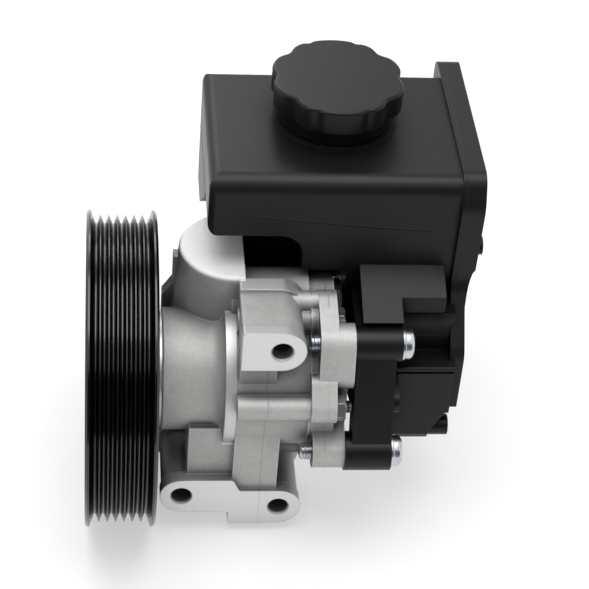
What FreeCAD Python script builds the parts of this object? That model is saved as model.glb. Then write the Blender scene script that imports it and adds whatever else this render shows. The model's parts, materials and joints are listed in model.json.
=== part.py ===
import FreeCAD, Part
import math
import os

# Belt-driven vane pump for power steering, with its oil reservoir bolted on behind.
# Millimetres. The origin is on the shaft axis at the middle of the belt track.
# +X runs along the shaft from the pulley to the reservoir's rear cover, +Z is up,
# and the side with the three mounting bosses faces -Y.
# Places across the shaft are written as (y, z).

# Belt pulley
RIB_PITCH = 3.56
GROOVES = 7
GROOVE_DEPTH = 3.5
GROOVE_HALF_ANGLE = 20.0
RIB_TIP_WIDTH = 0.5
PULLEY_RIB_R = 65.8
PULLEY_FLANGE_R = 68.0
PULLEY_HALF_WIDTH = 14.8
PULLEY_LIP = 1.0
RIM_WALL = 4.3
WEB_X = -2.0
WEB_THICKNESS = 5.0
WEB_HOLES = 6
WEB_HOLE_R = 9.0
WEB_HOLE_CIRCLE_R = 37.0
WEB_HOLE_ANGLE = 30.0
HUB_R = 13.0
HUB_FRONT_X = -5.0

# Drive shaft, nut, washer and key
SHAFT_FRONT_X = -14.4
THREAD_R = 7.0
THREAD_END_X = -6.5
SEAT_R = 8.5
SHOULDER_R = 10.5
SHOULDER_LENGTH = 2.5
SEAL_LAND_R = 9.0
SPLINE_R = 8.0
JOURNAL_R = 7.0
JOURNAL_END_X = 82.5
NUT_ACROSS_FLATS = 21.0
NUT_HEIGHT = 7.2
WASHER_R = 12.5
WASHER_THICKNESS = 2.0
KEY_LENGTH = 11.0
KEY_WIDTH = 5.0
KEYWAY_LENGTH = 14.3
KEY_BOTTOM_R = 6.0
KEY_TOP_R = 10.4

# Front ball bearing, circlip and shaft seal
BEARING_X = 19.0
BEARING_WIDTH = 12.0
BEARING_OUTER_R = 20.0
RACE_WALL = 4.1
INNER_RACE_R = SEAT_R + RACE_WALL
OUTER_RACE_R = BEARING_OUTER_R - RACE_WALL
BALLS = 8
BALL_R = 2.8
BALL_CIRCLE_R = (INNER_RACE_R + OUTER_RACE_R) / 2
CAGE_HALF_WALL = 0.75
CAGE_WIDTH = 8.0
CIRCLIP_THICKNESS = 1.4
CIRCLIP_LAP = 2.4
CIRCLIP_INNER_R = BEARING_OUTER_R - CIRCLIP_LAP
CIRCLIP_DEPTH = 1.0
CIRCLIP_GAP_ANGLE = 40.0
SEAL_X = 34.0
SEAL_LENGTH = 7.0
SEAL_R = 16.0

# Pump housing casting
NOSE_X = 17.4
SPIGOT_LENGTH = 1.9
SPIGOT_R = 24.8
NOSE_R = 26.5
FLARE_R = 6.5
BODY_X = 43.5
BODY_R = 33.0
BODY_SEAM_X = 48.2
BODY_SEAM_STEP = 0.4
BODY_REAR_X = 78.9
CHAMBER_X = 46.0
CHAMBER_R = 26.3

# Tall half-round boss on the housing
TOWER_TOP_Z = 50.0
TOWER_FOOT_Z = 8.0
TOWER_LEFT_X = 24.4
TOWER_RIGHT_X = 51.6
TOWER_FRONT_Y = 0.3
TOWER_BACK_Y = 46.0
TOWER_DRAFT = 3.6
TOWER_EDGE_R = 2.4
GUSSET_Y = 22.0
GUSSET_THICKNESS = 5.0
GUSSET_X = 17.6
GUSSET_FOOT_Z = 10.0
GUSSET_SHOULDER_Z = 30.3
GUSSET_SLOPE_DROP = 7.0
LUG_TOP_Z = 44.2
LUG_X = 22.0
PORT_X = 40.0
PORT_Z = 32.0
PORT_THREAD_R = 7.25
PORT_DEPTH = 15.0
PORT_FACE_Y = 49.0
PORT_COLLAR_R = 11.5

# Mounting bosses, bored along Y
MOUNT_FACE_Y = -32.0
MOUNT_BACK_Y = 6.0
MOUNT_BORE_R = 4.3
MOUNT_CHAMFER = 0.7
COLLAR_LENGTH = 8.5
COLLAR_STEP = 1.4
EAR_X, EAR_Z = 65.6, 37.3
EAR_R = 10.1
EAR_LEFT_X = 48.9
EAR_FACE_LENGTH = 5.5
EAR_BACK_Y = 1.9
EAR_COLLAR_LENGTH = 7.3
EAR_BORE_END_Y = 0.0
EAR_FACE_STEP = 0.35
EAR_WEB_RIGHT_X = 64.5
EAR_WEB_Y = -28.2
EAR_WEB_FOOT_Z = 15.5
FRONT_LUG_X, FRONT_LUG_Z = 26.7, -46.2
FRONT_LUG_R = 9.3
REAR_LUG_X, REAR_LUG_Z = 69.4, -53.0
REAR_LUG_R = 9.7
LUG_THICKNESS = 6.0
LUG_STEP_X = 47.5
LUG_SHOULDER_X = 52.0
LUG_FALL = 0.8
FRONT_NECK_X0 = 29.0
FRONT_NECK_Y = -27.5
REAR_NECK_X1 = 68.0
REAR_NECK_Y = -30.0
NECK_BACK_Y = -4.0
NECK_TOP_Z = -10.0

# Cover bolts, on a circle about the shaft
BOLT_RIM_OFFSET = 3.0
BOLT_CIRCLE_R = BODY_R + BOLT_RIM_OFFSET
BOLT_ANGLES = (14.6, 76.0, 194.6, 284.6)
BOLT_R = 3.0
BOLT_CLEARANCE = 0.3
BOLT_BOSS_R = 5.2
BOLT_TIP_X = 71.9
BOLT_HOLE_RUN_OUT = 1.0
BOLT_HEAD_FLATS = 10.0
BOLT_HEAD_HEIGHT = 3.8
SPOT_FACE_R = 6.5

# Flow control valve, along X above the pumping chamber
VALVE_Y, VALVE_Z = 10.0, 32.0
VALVE_BARREL_R = 10.5
VALVE_HOUSING_R = 12.9
VALVE_BARREL_END_X = 89.9
VALVE_BORE_R = 7.0
VALVE_BORE_X = 56.0
VALVE_DRILL_R = 3.0
SPOOL_X = 66.0
SPOOL_LENGTH = 14.0
SPOOL_GROOVE_R = 5.2
VALVE_SPRING_R = 4.6
VALVE_SPRING_WIRE_R = 0.5
VALVE_SPRING_TURNS = 4.5
PLUG_THREAD_R = 8.0
PLUG_THREAD_X = 81.0
PLUG_NOSE_R = 4.0
PLUG_FLATS = 15.0
PLUG_HEAD_HEIGHT = 3.8

# Rotor, vanes and cam ring
PLATE_THICKNESS = 5.0
PLATE_SIDE_GAP = 0.2
ROTOR_WIDTH = 15.0
ROTOR_R = 19.4
ROTOR_SIDE_GAP = 0.05
VANES = 10
FIRST_VANE_ANGLE = 9.0
VANE_THICKNESS = 1.3
VANE_HEIGHT = 6.8
VANE_REST_R = 12.5
SLOT_CLEARANCE = 0.05
SLOT_FOOT_R = 1.1
CAM_MIDDLE_R = 20.9
CAM_SWING_R = 1.1
CAM_POINTS = 48
KIDNEY_R = 16.5
KIDNEY_HALF_WIDTH = 1.6
KIDNEY_ANGLES = (45.0, 135.0, 225.0, 315.0)
KIDNEY_SPAN = 36.0
DOWEL_R = 1.5
DOWEL_CIRCLE_R = 23.4
DOWEL_ANGLES = (80.0, 260.0)
ROTOR_CLIP_THICKNESS = 1.2
ROTOR_CLIP_R = 9.6
ROTOR_CLIP_DEPTH = 0.8
DISC_SPRING_RIM_R = 20.0
DISC_SPRING_HOLE_R = 11.5
DISC_SPRING_THICKNESS = 1.0

# Rear cover casting
COVER_REAR_X = 89.6
COVER_OVERHANG = 0.6
COVER_R = BODY_R + COVER_OVERHANG
COVER_SPIGOT_LENGTH = 4.5
COVER_EAR_R = 6.3
COVER_PAD = (-29.5, 17.5, 4.6)
RING_GROOVE_X = 75.7
RING_GROOVE_WIDTH = 2.1
RING_GROOVE_DEPTH = 1.8
RING_WIRE_R = 0.9
BUSH_X = 75.0
BUSH_LENGTH = 8.0
BUSH_R = 9.0
UPPER_LUG_X = 82.0
UPPER_LUG_REAR_X = 89.8
LOWER_LUG_X = 81.0
PLASTIC_JOINT_X = 96.7
UPPER_LUG_R = 8.5
LOWER_LUG_R = 7.2
LOWER_JOINT_SHIFT = 2.0
SMALL_BOSS_Y, SMALL_BOSS_Z = -4.0, 41.0
SMALL_BOSS_R = 4.8
SPIGOT_Y, SPIGOT_Z = 5.0, 8.0
SUCTION_R = 12.0
SUCTION_BORE_R = 8.0
SUCTION_END_X = 105.0
SUCTION_BORE_X = 84.0
SUCTION_DRILL_R = 4.0
SUCTION_RING_X = 99.0

# Reservoir bolts and their sleeves
RES_BOLT_R = 4.0
RES_BOLT_TIP_X = 77.8
RES_BOLT_HEAD_R = 7.1
RES_BOLT_HEAD_HEIGHT = 5.2
UPPER_BOLT = (-20.4, 32.4)
LOWER_BOLT = (-35.7, -15.0)
SLEEVE_WALL = 1.0
SLEEVE_CLEARANCE = 0.2

# Reservoir
WALL = 3.0
TANK_LEFT_X = 35.0
TANK_TOP_Z = 95.0
TANK_FRONT_Y = 7.5
TANK_BACK_Y = 88.0
TANK_FRONT_EDGE_R = 7.0
TANK_EDGE_R = 3.0
TANK_CORNER_R = 4.5
TANK_LOW_CORNER_R = 2.0
HEEL_FOOT_Y, HEEL_FOOT_Z = 66.0, 40.5
HEEL_TOP_Y = 34.0
TANK_BELLY_Z = 67.0
TANK_STEP_X = 75.5
TANK_STEP_Z = 48.5
TANK_STEP_R = 10.0
TANK_RIM_X = 139.7
TANK_REAR_X = 141.5
SUMP_X, SUMP_Y, SUMP_Z = 52.0, 36.0, 22.0
SKIRT_X, SKIRT_Y, SKIRT_Z = 94.5, 7.5, 20.0
SKIRT_TOP_Z = 55.0
PLASTIC_BOSS_R = 7.6
LOWER_PLASTIC_BOSS_R = 8.4
PLASTIC_BOSS_END_X = 116.5
ARM_X0, ARM_X1 = 97.5, 114.2
ARM_R = 6.0
WEB_PLANE_Y, WEB_PLANE_Z = 7.5, 52.4
WEB_PLANE_SLOPE = 0.404
WEB_PLANE_END_Y = -18.5
WEB_LEDGE_Y = -7.3
WEB_GROOVE_DEPTH = 1.3
WEB_GROOVE_WIDTH = 1.6
WEB_LEFT_X, WEB_MIDDLE_X, WEB_RIGHT_X = 100.0, 117.0, 136.0
BLOCK_X = 116.0
BLOCK_FRONT_Y = -20.0
BLOCK_BACK_Y = 30.0
BLOCK_TOP_Z = 18.0
BLOCK_FOOT_Z = -22.0
LEDGE_FRONT_Y = -7.6
LEDGE_TOP_Z = 37.2
BOLT_BAY_R = 14.4
LIP_GROOVE_TOP_Z = 16.2
LIP_GROOVE_WIDTH = 1.3
LIP_GROOVE_DEPTH = 1.0
CHAMFER_X = 132.0
CHAMFER_Z = -7.8
SOCKET_X = 93.0
SOCKET_R = 15.5
SOCKET_CLEARANCE = 0.35
SOCKET_DEPTH_GAP = 0.3
RETURN_Y, RETURN_Z = -10.5, -23.4
RETURN_R = 4.6
RETURN_BORE_R = 2.8
RETURN_X0, RETURN_X1 = 121.0, 143.6
RETURN_COLLAR_X = 134.5
RETURN_COLLAR_R = 5.6
OIL_HOLE_X, OIL_HOLE_Y, OIL_HOLE_R = 128.0, 14.0, 5.0

# Reservoir's welded rear cover
REAR_PLATE_X = 149.5
REAR_THIN_X = 145.8
REAR_THIN_Z = 36.0
REAR_STEP_TOP_Z = 52.0
REAR_STEP_SHOULDER = 0.4
REAR_TOP_Z = 96.5
REAR_BACK_Y = 101.0
REAR_FRONT_Y = 4.6
REAR_TOE_Y = -14.8
REAR_FOOT_Z = -10.2
REAR_BACK_FOOT_Z = 16.5
REAR_RECESS_DEPTH = 5.0
STUD_Y, STUD_Z, STUD_R = 16.0, 56.4, 4.0
STUD_LENGTH = 3.4

# Filler neck, cap and dipstick
NECK_X, NECK_Y = 90.0, 56.0
NECK_R = 23.3
NECK_BORE_R = 19.5
NECK_TOP_Z_MM = 109.0
NECK_BASE_R = 26.5
NECK_BASE_HEIGHT = 1.3
CAP_R = 28.3
CAP_BOTTOM_Z = 104.4
CAP_TOP_Z = 115.0
CAP_CROWN = 3.2
CAP_CLEARANCE = 0.35
CAP_EDGE_R = 1.2
CAP_POINTS = 144
CAP_DEEP_DIPS = (0.0, 42.0, 138.0, 180.0, 222.0, 318.0)
CAP_DEEP = 2.3
CAP_DEEP_WIDTH = 9.0
CAP_SMALL_DIPS = (68.0, 112.0, 248.0, 292.0)
CAP_SMALL = 0.9
CAP_SMALL_WIDTH = 3.6
CAP_SEAL_HEIGHT = 2.0
DIPSTICK_FOOT_Z = 42.0
DIPSTICK_WIDTH = 6.0
DIPSTICK_THICKNESS = 2.0
DIPSTICK_DISC_R = 9.0

# Filter and the spring that holds it down
FILTER_X, FILTER_Y = 119.5, 61.0
FILTER_R = 17.0
FILTER_BORE_R = 8.0
FILTER_HEIGHT = 40.0
FILTER_PLEATS = 28
FILTER_PLEAT_DEPTH = 5.0
FILTER_END_THICKNESS = 2.0
FILTER_SPRING_R = 9.0
FILTER_SPRING_WIRE_R = 0.9
FILTER_SPRING_TURNS = 5.0

# Shared clearances
FIT = 0.02
RUNNING = 0.05
PAST = 1.0

# Places that follow from the sizes above
GROOVE_R = PULLEY_RIB_R - GROOVE_DEPTH
HUB_REAR_X = BEARING_X
BEARING_REAR_X = BEARING_X + BEARING_WIDTH
SEAL_REAR_X = SEAL_X + SEAL_LENGTH
FRONT_PLATE_X = CHAMBER_X + PLATE_SIDE_GAP
ROTOR_X = FRONT_PLATE_X + PLATE_THICKNESS
REAR_PLATE_FACE_X = ROTOR_X + ROTOR_WIDTH
REAR_PLATE_END_X = REAR_PLATE_FACE_X + PLATE_THICKNESS
COVER_SPIGOT_X = BODY_REAR_X - COVER_SPIGOT_LENGTH
TANK_FLOOR_Z = SKIRT_Z + WALL


def vec(x, y, z):
    return FreeCAD.Vector(x, y, z)


def polar(angle, radius):
    """(y, z) of a point at an angle above the mounting side, in degrees."""
    turn = math.radians(angle)
    return -radius * math.cos(turn), radius * math.sin(turn)


def rod_x(x0, x1, radius, y=0.0, z=0.0):
    return Part.makeCylinder(radius, x1 - x0, vec(x0, y, z), vec(1, 0, 0))


def rod_y(y0, y1, radius, x, z):
    return Part.makeCylinder(radius, y1 - y0, vec(x, y0, z), vec(0, 1, 0))


def rod_z(z0, z1, radius, x, y):
    return Part.makeCylinder(radius, z1 - z0, vec(x, y, z0), vec(0, 0, 1))


def block(x0, x1, y0, y1, z0, z1):
    return Part.makeBox(x1 - x0, y1 - y0, z1 - z0, vec(x0, y0, z0))


def ring_x(x0, x1, outer, inner, y=0.0, z=0.0):
    return rod_x(x0, x1, outer, y, z).cut(rod_x(x0 - PAST, x1 + PAST, inner, y, z))


def corner_edges(corners, place):
    """Edges of a closed outline of (u, v, radius) corners, each rounded by its radius."""
    count = len(corners)
    legs = []
    for index, (u, v, radius) in enumerate(corners):
        here = vec(u, v, 0)
        before = vec(corners[index - 1][0], corners[index - 1][1], 0) - here
        after = vec(corners[(index + 1) % count][0], corners[(index + 1) % count][1], 0) - here
        before.normalize()
        after.normalize()
        if radius <= 0:
            legs.append((here, None, here))
            continue
        half = before.getAngle(after) / 2
        middle = before + after
        middle.normalize()
        reach = radius / math.tan(half)
        crown = here + middle * (radius / math.sin(half) - radius)
        legs.append((here + before * reach, crown, here + after * reach))
    edges = []
    for index, (start, crown, end) in enumerate(legs):
        if crown is not None:
            edges.append(Part.Arc(place(start), place(crown), place(end)).toShape())
        following = legs[(index + 1) % count][0]
        if end.distanceToPoint(following) > 1e-6:
            edges.append(Part.makeLine(place(end), place(following)))
    return edges


def outline(corners, place):
    padded = [tuple(corner) + (0.0,) * (3 - len(corner)) for corner in corners]
    return Part.Wire(corner_edges(padded, place))


def slab_x(corners, x0, x1):
    """Plate across the shaft: corners are (y, z) or (y, z, radius)."""
    wire = outline(corners, lambda p: vec(x0, p.x, p.y))
    return Part.Face(wire).extrude(vec(x1 - x0, 0, 0))


def slab_y(corners, y0, y1):
    """Plate facing the mounting side: corners are (x, z) or (x, z, radius)."""
    wire = outline(corners, lambda p: vec(p.x, y0, p.y))
    return Part.Face(wire).extrude(vec(0, y1 - y0, 0))


def slab_z(corners, z0, z1):
    wire = outline(corners, lambda p: vec(p.x, p.y, z0))
    return Part.Face(wire).extrude(vec(0, 0, z1 - z0))


def turned_x(corners, y=0.0, z=0.0):
    """Solid of revolution about the shaft direction: corners are (x, r) or (x, r, radius)."""
    wire = outline(corners, lambda p: vec(p.x, p.y + y, z))
    return Part.Face(wire).revolve(vec(0, y, z), vec(1, 0, 0), 360)


def turned_z(corners, x, y):
    """Solid of revolution about an upright axis: corners are (r, z) or (r, z, radius)."""
    wire = outline(corners, lambda p: vec(x + p.x, y, p.y))
    return Part.Face(wire).revolve(vec(x, y, 0), vec(0, 0, 1), 360)


def link_x(first, second, x0, x1):
    """Strap around two circles (y, z, r) with straight tangent sides."""
    (y1, z1, r1), (y2, z2, r2) = first, second
    distance = math.hypot(y2 - y1, z2 - z1)
    heading = math.atan2(z2 - z1, y2 - y1)
    lean = math.acos((r1 - r2) / distance)
    corners = []
    for y, z, radius, side in ((y1, z1, r1, 1), (y2, z2, r2, 1), (y2, z2, r2, -1), (y1, z1, r1, -1)):
        angle = heading + side * lean
        corners.append((y + radius * math.cos(angle), z + radius * math.sin(angle)))
    strap = slab_x(corners, x0, x1)
    return fused(strap, rod_x(x0, x1, r1, y1, z1), rod_x(x0, x1, r2, y2, z2))


def fused(first, *others):
    return first.fuse(list(others)).removeSplitter()


def hexagon_x(x0, x1, across_flats, y=0.0, z=0.0):
    corner_r = across_flats / math.sqrt(3)
    corners = []
    for index in range(6):
        angle = math.radians(60 * index)
        corners.append((y + corner_r * math.cos(angle), z + corner_r * math.sin(angle)))
    return slab_x(corners, x0, x1)


def crowned_hexagon_x(x0, x1, across_flats, y=0.0, z=0.0):
    """Hexagon whose outer corners are turned down to a cone, as on a bolt head."""
    corner_r = across_flats / math.sqrt(3)
    flat_r = across_flats / 2
    drop = corner_r - flat_r
    cone = turned_x([(x0, 0), (x0, corner_r), (x1 - drop, corner_r), (x1, flat_r), (x1, 0)], y, z)
    return hexagon_x(x0, x1, across_flats, y, z).common(cone)


def o_ring_x(x, radius, wire_r, y=0.0, z=0.0):
    return Part.makeTorus(radius, wire_r, vec(x, y, z), vec(1, 0, 0))


def coil_z(height, radius, wire_r, turns):
    """Round-wire compression spring standing on z = 0, as tall as height over its wire."""
    rise = height - 2 * wire_r
    helix = Part.makeHelix(rise / turns, rise, radius)
    section = Part.Wire(Part.makeCircle(wire_r, vec(radius, 0, 0), vec(0, 1, 0)))
    spring = Part.Wire(helix).makePipeShell([section], True, True)
    spring.translate(vec(0, 0, wire_r))
    return spring


def save(name, shape):
    shape.exportStep("parts/" + name + ".step")


def pulley_profile():
    """Section of the pulley: belt track outside, rim, web and hub inside."""
    flank = GROOVE_DEPTH * math.tan(math.radians(GROOVE_HALF_ANGLE))
    floor = RIB_PITCH - RIB_TIP_WIDTH - 2 * flank
    outer_flank = (PULLEY_FLANGE_R - GROOVE_R) * math.tan(math.radians(GROOVE_HALF_ANGLE))
    points = [(-PULLEY_HALF_WIDTH, PULLEY_FLANGE_R - PULLEY_LIP)]
    for index in range(GROOVES):
        middle = (index - (GROOVES - 1) / 2) * RIB_PITCH
        left, right = middle - floor / 2, middle + floor / 2
        if index == 0:
            points.append((-PULLEY_HALF_WIDTH + PULLEY_LIP, PULLEY_FLANGE_R))
            points.append((left - outer_flank, PULLEY_FLANGE_R))
        else:
            points.append((left - flank, PULLEY_RIB_R))
        points.append((left, GROOVE_R))
        points.append((right, GROOVE_R))
        if index == GROOVES - 1:
            points.append((right + outer_flank, PULLEY_FLANGE_R))
            points.append((PULLEY_HALF_WIDTH - PULLEY_LIP, PULLEY_FLANGE_R))
        else:
            points.append((right + flank, PULLEY_RIB_R))
    rim_r = GROOVE_R - RIM_WALL
    points.append((PULLEY_HALF_WIDTH, PULLEY_FLANGE_R - PULLEY_LIP))
    points.append((PULLEY_HALF_WIDTH, rim_r, 1.0))
    points.append((WEB_X + WEB_THICKNESS, rim_r, 3.0))
    points.append((WEB_X + WEB_THICKNESS, HUB_R, 2.0))
    points.append((HUB_REAR_X, HUB_R))
    points.append((HUB_REAR_X, SEAT_R + FIT))
    points.append((HUB_FRONT_X, SEAT_R + FIT))
    points.append((HUB_FRONT_X, HUB_R + 2, 0.6))
    points.append((WEB_X, HUB_R + 2))
    points.append((WEB_X, rim_r, 3.0))
    points.append((-PULLEY_HALF_WIDTH, rim_r, 1.0))
    return points


def key_box(side_clearance=0.0, top_clearance=0.0):
    half = KEY_WIDTH / 2 + side_clearance
    x0 = HUB_FRONT_X + KEY_LENGTH / 4
    top = KEY_TOP_R + top_clearance
    return block(x0 - side_clearance, x0 + KEY_LENGTH + side_clearance, -half, half, KEY_BOTTOM_R, top)


def make_pulley():
    """Grooved rim, and the web with its hub that is pressed into it."""
    pulley = turned_x(pulley_profile())
    for index in range(WEB_HOLES):
        y, z = polar(360 * index / WEB_HOLES + WEB_HOLE_ANGLE, WEB_HOLE_CIRCLE_R)
        pulley = pulley.cut(rod_x(WEB_X - PAST, WEB_X + WEB_THICKNESS + PAST, WEB_HOLE_R, y, z))
    half = KEY_WIDTH / 2 + FIT
    keyway = block(HUB_FRONT_X - PAST, HUB_FRONT_X + KEYWAY_LENGTH, -half, half, 0, KEY_TOP_R + FIT)
    inside = rod_x(-PULLEY_HALF_WIDTH - PAST, HUB_REAR_X + PAST, GROOVE_R - RIM_WALL)
    save("pulley", pulley.cut(inside))
    save("pulley_hub", pulley.common(inside).cut(keyway))


def make_shaft():
    clip_x = REAR_PLATE_FACE_X
    groove_r = SPLINE_R - ROTOR_CLIP_DEPTH
    seal_x = BEARING_REAR_X + SHOULDER_LENGTH
    journal_x = clip_x + ROTOR_CLIP_THICKNESS + 1.5
    shaft = turned_x([
        (SHAFT_FRONT_X, 0), (SHAFT_FRONT_X, THREAD_R - 1), (SHAFT_FRONT_X + 1, THREAD_R),
        (THREAD_END_X, THREAD_R), (THREAD_END_X, SEAT_R), (BEARING_REAR_X, SEAT_R),
        (BEARING_REAR_X, SHOULDER_R), (seal_x, SHOULDER_R), (seal_x, SEAL_LAND_R),
        (SEAL_REAR_X, SEAL_LAND_R), (SEAL_REAR_X, SPLINE_R), (clip_x, SPLINE_R),
        (clip_x, groove_r), (clip_x + ROTOR_CLIP_THICKNESS, groove_r),
        (clip_x + ROTOR_CLIP_THICKNESS, SPLINE_R), (journal_x, SPLINE_R), (journal_x, JOURNAL_R),
        (JOURNAL_END_X - 1, JOURNAL_R), (JOURNAL_END_X, JOURNAL_R - 1), (JOURNAL_END_X, 0)])
    save("drive_shaft", shaft.cut(key_box()))
    save("shaft_key", key_box(-FIT))
    washer_x = HUB_FRONT_X - WASHER_THICKNESS
    save("pulley_washer", ring_x(washer_x, HUB_FRONT_X, WASHER_R, SEAT_R + 2 * FIT))
    nut = crowned_hexagon_x(washer_x - NUT_HEIGHT, washer_x, NUT_ACROSS_FLATS)
    save("pulley_nut", nut.cut(rod_x(washer_x - NUT_HEIGHT - PAST, washer_x + PAST, THREAD_R + FIT)))


def make_bearing():
    middle = BEARING_X + BEARING_WIDTH / 2
    groove_r = BALL_R + 3 * RUNNING
    track = o_ring_x(middle, BALL_CIRCLE_R, groove_r)
    outer = ring_x(BEARING_X, BEARING_REAR_X, BEARING_OUTER_R, OUTER_RACE_R)
    inner = ring_x(BEARING_X, BEARING_REAR_X, INNER_RACE_R, SEAT_R + FIT)
    save("bearing_outer_race", outer.cut(track))
    save("bearing_inner_race", inner.cut(track))
    cage = ring_x(middle - CAGE_WIDTH / 2, middle + CAGE_WIDTH / 2,
                  BALL_CIRCLE_R + CAGE_HALF_WALL, BALL_CIRCLE_R - CAGE_HALF_WALL)
    balls = []
    for index in range(BALLS):
        y, z = polar(360 * index / BALLS, BALL_CIRCLE_R)
        balls.append(Part.makeSphere(BALL_R, vec(middle, y, z)))
        cage = cage.cut(Part.makeSphere(groove_r, vec(middle, y, z)))
    save("bearing_balls", Part.makeCompound(balls))
    save("ball_cage", cage)


def make_front_clip_and_seal():
    clip_x = BEARING_X - CIRCLIP_THICKNESS - FIT
    clip_r = BEARING_OUTER_R + CIRCLIP_DEPTH - FIT
    clip = ring_x(clip_x, clip_x + CIRCLIP_THICKNESS, clip_r, CIRCLIP_INNER_R)
    half = CIRCLIP_INNER_R * math.sin(math.radians(CIRCLIP_GAP_ANGLE / 2))
    gap = block(clip_x - PAST, clip_x + CIRCLIP_THICKNESS + PAST, -half, half, -BEARING_OUTER_R - 2 * PAST, 0)
    save("bearing_circlip", clip.cut(gap))
    lip_r = SEAL_LAND_R + RUNNING
    seal = turned_x([
        (SEAL_X, SEAL_R), (SEAL_REAR_X, SEAL_R), (SEAL_REAR_X, SEAL_R - 2),
        (SEAL_X + 2, SEAL_R - 2), (SEAL_X + 2, lip_r + 1.6), (SEAL_REAR_X - 1, lip_r + 1.2),
        (SEAL_REAR_X - 2, lip_r), (SEAL_X, lip_r + 0.8)])
    save("shaft_seal", seal)


def tower():
    """Tall boss with a half-round left side, wider at its foot by the draft."""
    wires = []
    for z, grow in ((TOWER_FOOT_Z, TOWER_DRAFT), (TOWER_TOP_Z, 0.0)):
        y0, y1 = TOWER_FRONT_Y - grow, TOWER_BACK_Y + grow
        round_r = (y1 - y0) / 2
        corners = [(TOWER_LEFT_X - grow, y0, round_r), (TOWER_RIGHT_X, y0),
                   (TOWER_RIGHT_X, y1), (TOWER_LEFT_X - grow, y1, round_r)]
        wires.append(outline(corners, lambda p, z=z: vec(p.x, p.y, z)))
    boss = Part.makeLoft(wires, True, True)
    rim = [edge for edge in boss.Edges
           if edge.BoundBox.ZMin > TOWER_TOP_Z - FIT and edge.BoundBox.XMin < TOWER_RIGHT_X - 1.5]
    boss = boss.makeFillet(TOWER_EDGE_R, rim)
    collar = rod_y(TOWER_BACK_Y - 6, PORT_FACE_Y, PORT_COLLAR_R, PORT_X, PORT_Z)
    return fused(boss, collar)


def gusset():
    """Web and thin lug on the pulley side of the tower."""
    back = TOWER_LEFT_X + 6
    web = [(GUSSET_X, GUSSET_FOOT_Z), (back, GUSSET_FOOT_Z), (back, LUG_TOP_Z), (LUG_X, LUG_TOP_Z, 0.5),
           (LUG_X, GUSSET_SHOULDER_Z), (GUSSET_X, GUSSET_SHOULDER_Z - GUSSET_SLOPE_DROP)]
    return slab_y(web, GUSSET_Y, GUSSET_Y + GUSSET_THICKNESS)


def ear_outline(grow=0.0):
    right = EAR_X + EAR_R + grow
    round_r = EAR_R + grow
    low, high = EAR_Z - EAR_R - grow, EAR_Z + EAR_R + grow
    return [(EAR_LEFT_X, low, 1.0), (right, low, round_r), (right, high, round_r), (EAR_LEFT_X, high, 1.0)]


def mounting_ear():
    """Upper mounting boss: a machined end, a plain length and a wider collar behind."""
    face_end_y = MOUNT_FACE_Y + EAR_FACE_LENGTH
    collar_y = EAR_BACK_Y - EAR_COLLAR_LENGTH
    face = slab_y(ear_outline(), MOUNT_FACE_Y, face_end_y)
    shank = slab_y(ear_outline(-EAR_FACE_STEP), face_end_y, collar_y)
    collar = slab_y(ear_outline(COLLAR_STEP), collar_y, EAR_BACK_Y)
    web = block(EAR_LEFT_X, EAR_WEB_RIGHT_X, EAR_WEB_Y, MOUNT_BACK_Y, EAR_WEB_FOOT_Z, EAR_Z)
    return fused(face, shank, collar, web)


def lower_mounts():
    """Two lower bosses joined by a stepped front plate, and the necks that carry them."""
    front_top, front_foot = FRONT_LUG_Z + FRONT_LUG_R, FRONT_LUG_Z - FRONT_LUG_R
    rear_top, rear_foot = REAR_LUG_Z + REAR_LUG_R, REAR_LUG_Z - REAR_LUG_R
    front_end, rear_end = FRONT_LUG_X - FRONT_LUG_R, REAR_LUG_X + REAR_LUG_R
    plate = [(front_end, front_top, FRONT_LUG_R), (LUG_STEP_X + 1.5, front_top, 1.5),
             (LUG_SHOULDER_X, rear_top, 1.5), (rear_end, rear_top, REAR_LUG_R),
             (rear_end, rear_foot, REAR_LUG_R), (LUG_STEP_X, rear_foot - LUG_FALL, 1.5),
             (LUG_STEP_X, front_foot - LUG_FALL), (front_end, front_foot, FRONT_LUG_R)]
    shape = slab_y(plate, MOUNT_FACE_Y, MOUNT_FACE_Y + LUG_THICKNESS)
    necks = [block(FRONT_NECK_X0, LUG_STEP_X + 1, FRONT_NECK_Y, NECK_BACK_Y, front_foot + 8, NECK_TOP_Z),
             block(LUG_STEP_X + 1, REAR_NECK_X1, REAR_NECK_Y, NECK_BACK_Y, rear_foot + 8, NECK_TOP_Z)]
    bosses = []
    for x, z, radius in ((FRONT_LUG_X, FRONT_LUG_Z, FRONT_LUG_R), (REAR_LUG_X, REAR_LUG_Z, REAR_LUG_R)):
        bosses.append(rod_y(MOUNT_FACE_Y + 1, MOUNT_BACK_Y, radius - 0.6, x, z))
        bosses.append(rod_y(MOUNT_BACK_Y - COLLAR_LENGTH / 2, MOUNT_BACK_Y, radius + COLLAR_STEP, x, z))
    return fused(shape, *necks, *bosses)


def mount_bore(x, z, end_y):
    """Bore along Y from the machined face, with a small chamfer at its mouth."""
    bore = rod_y(MOUNT_FACE_Y - PAST, end_y, MOUNT_BORE_R, x, z)
    wide = MOUNT_BORE_R + MOUNT_CHAMFER
    mouth = Part.makeCone(wide, MOUNT_BORE_R, MOUNT_CHAMFER, vec(x, MOUNT_FACE_Y, z), vec(0, 1, 0))
    return bore.fuse(mouth)


def back_chamfer(x, z):
    wide = MOUNT_BORE_R + MOUNT_CHAMFER
    return Part.makeCone(wide, MOUNT_BORE_R, MOUNT_CHAMFER, vec(x, MOUNT_BACK_Y, z), vec(0, -1, 0))


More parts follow.
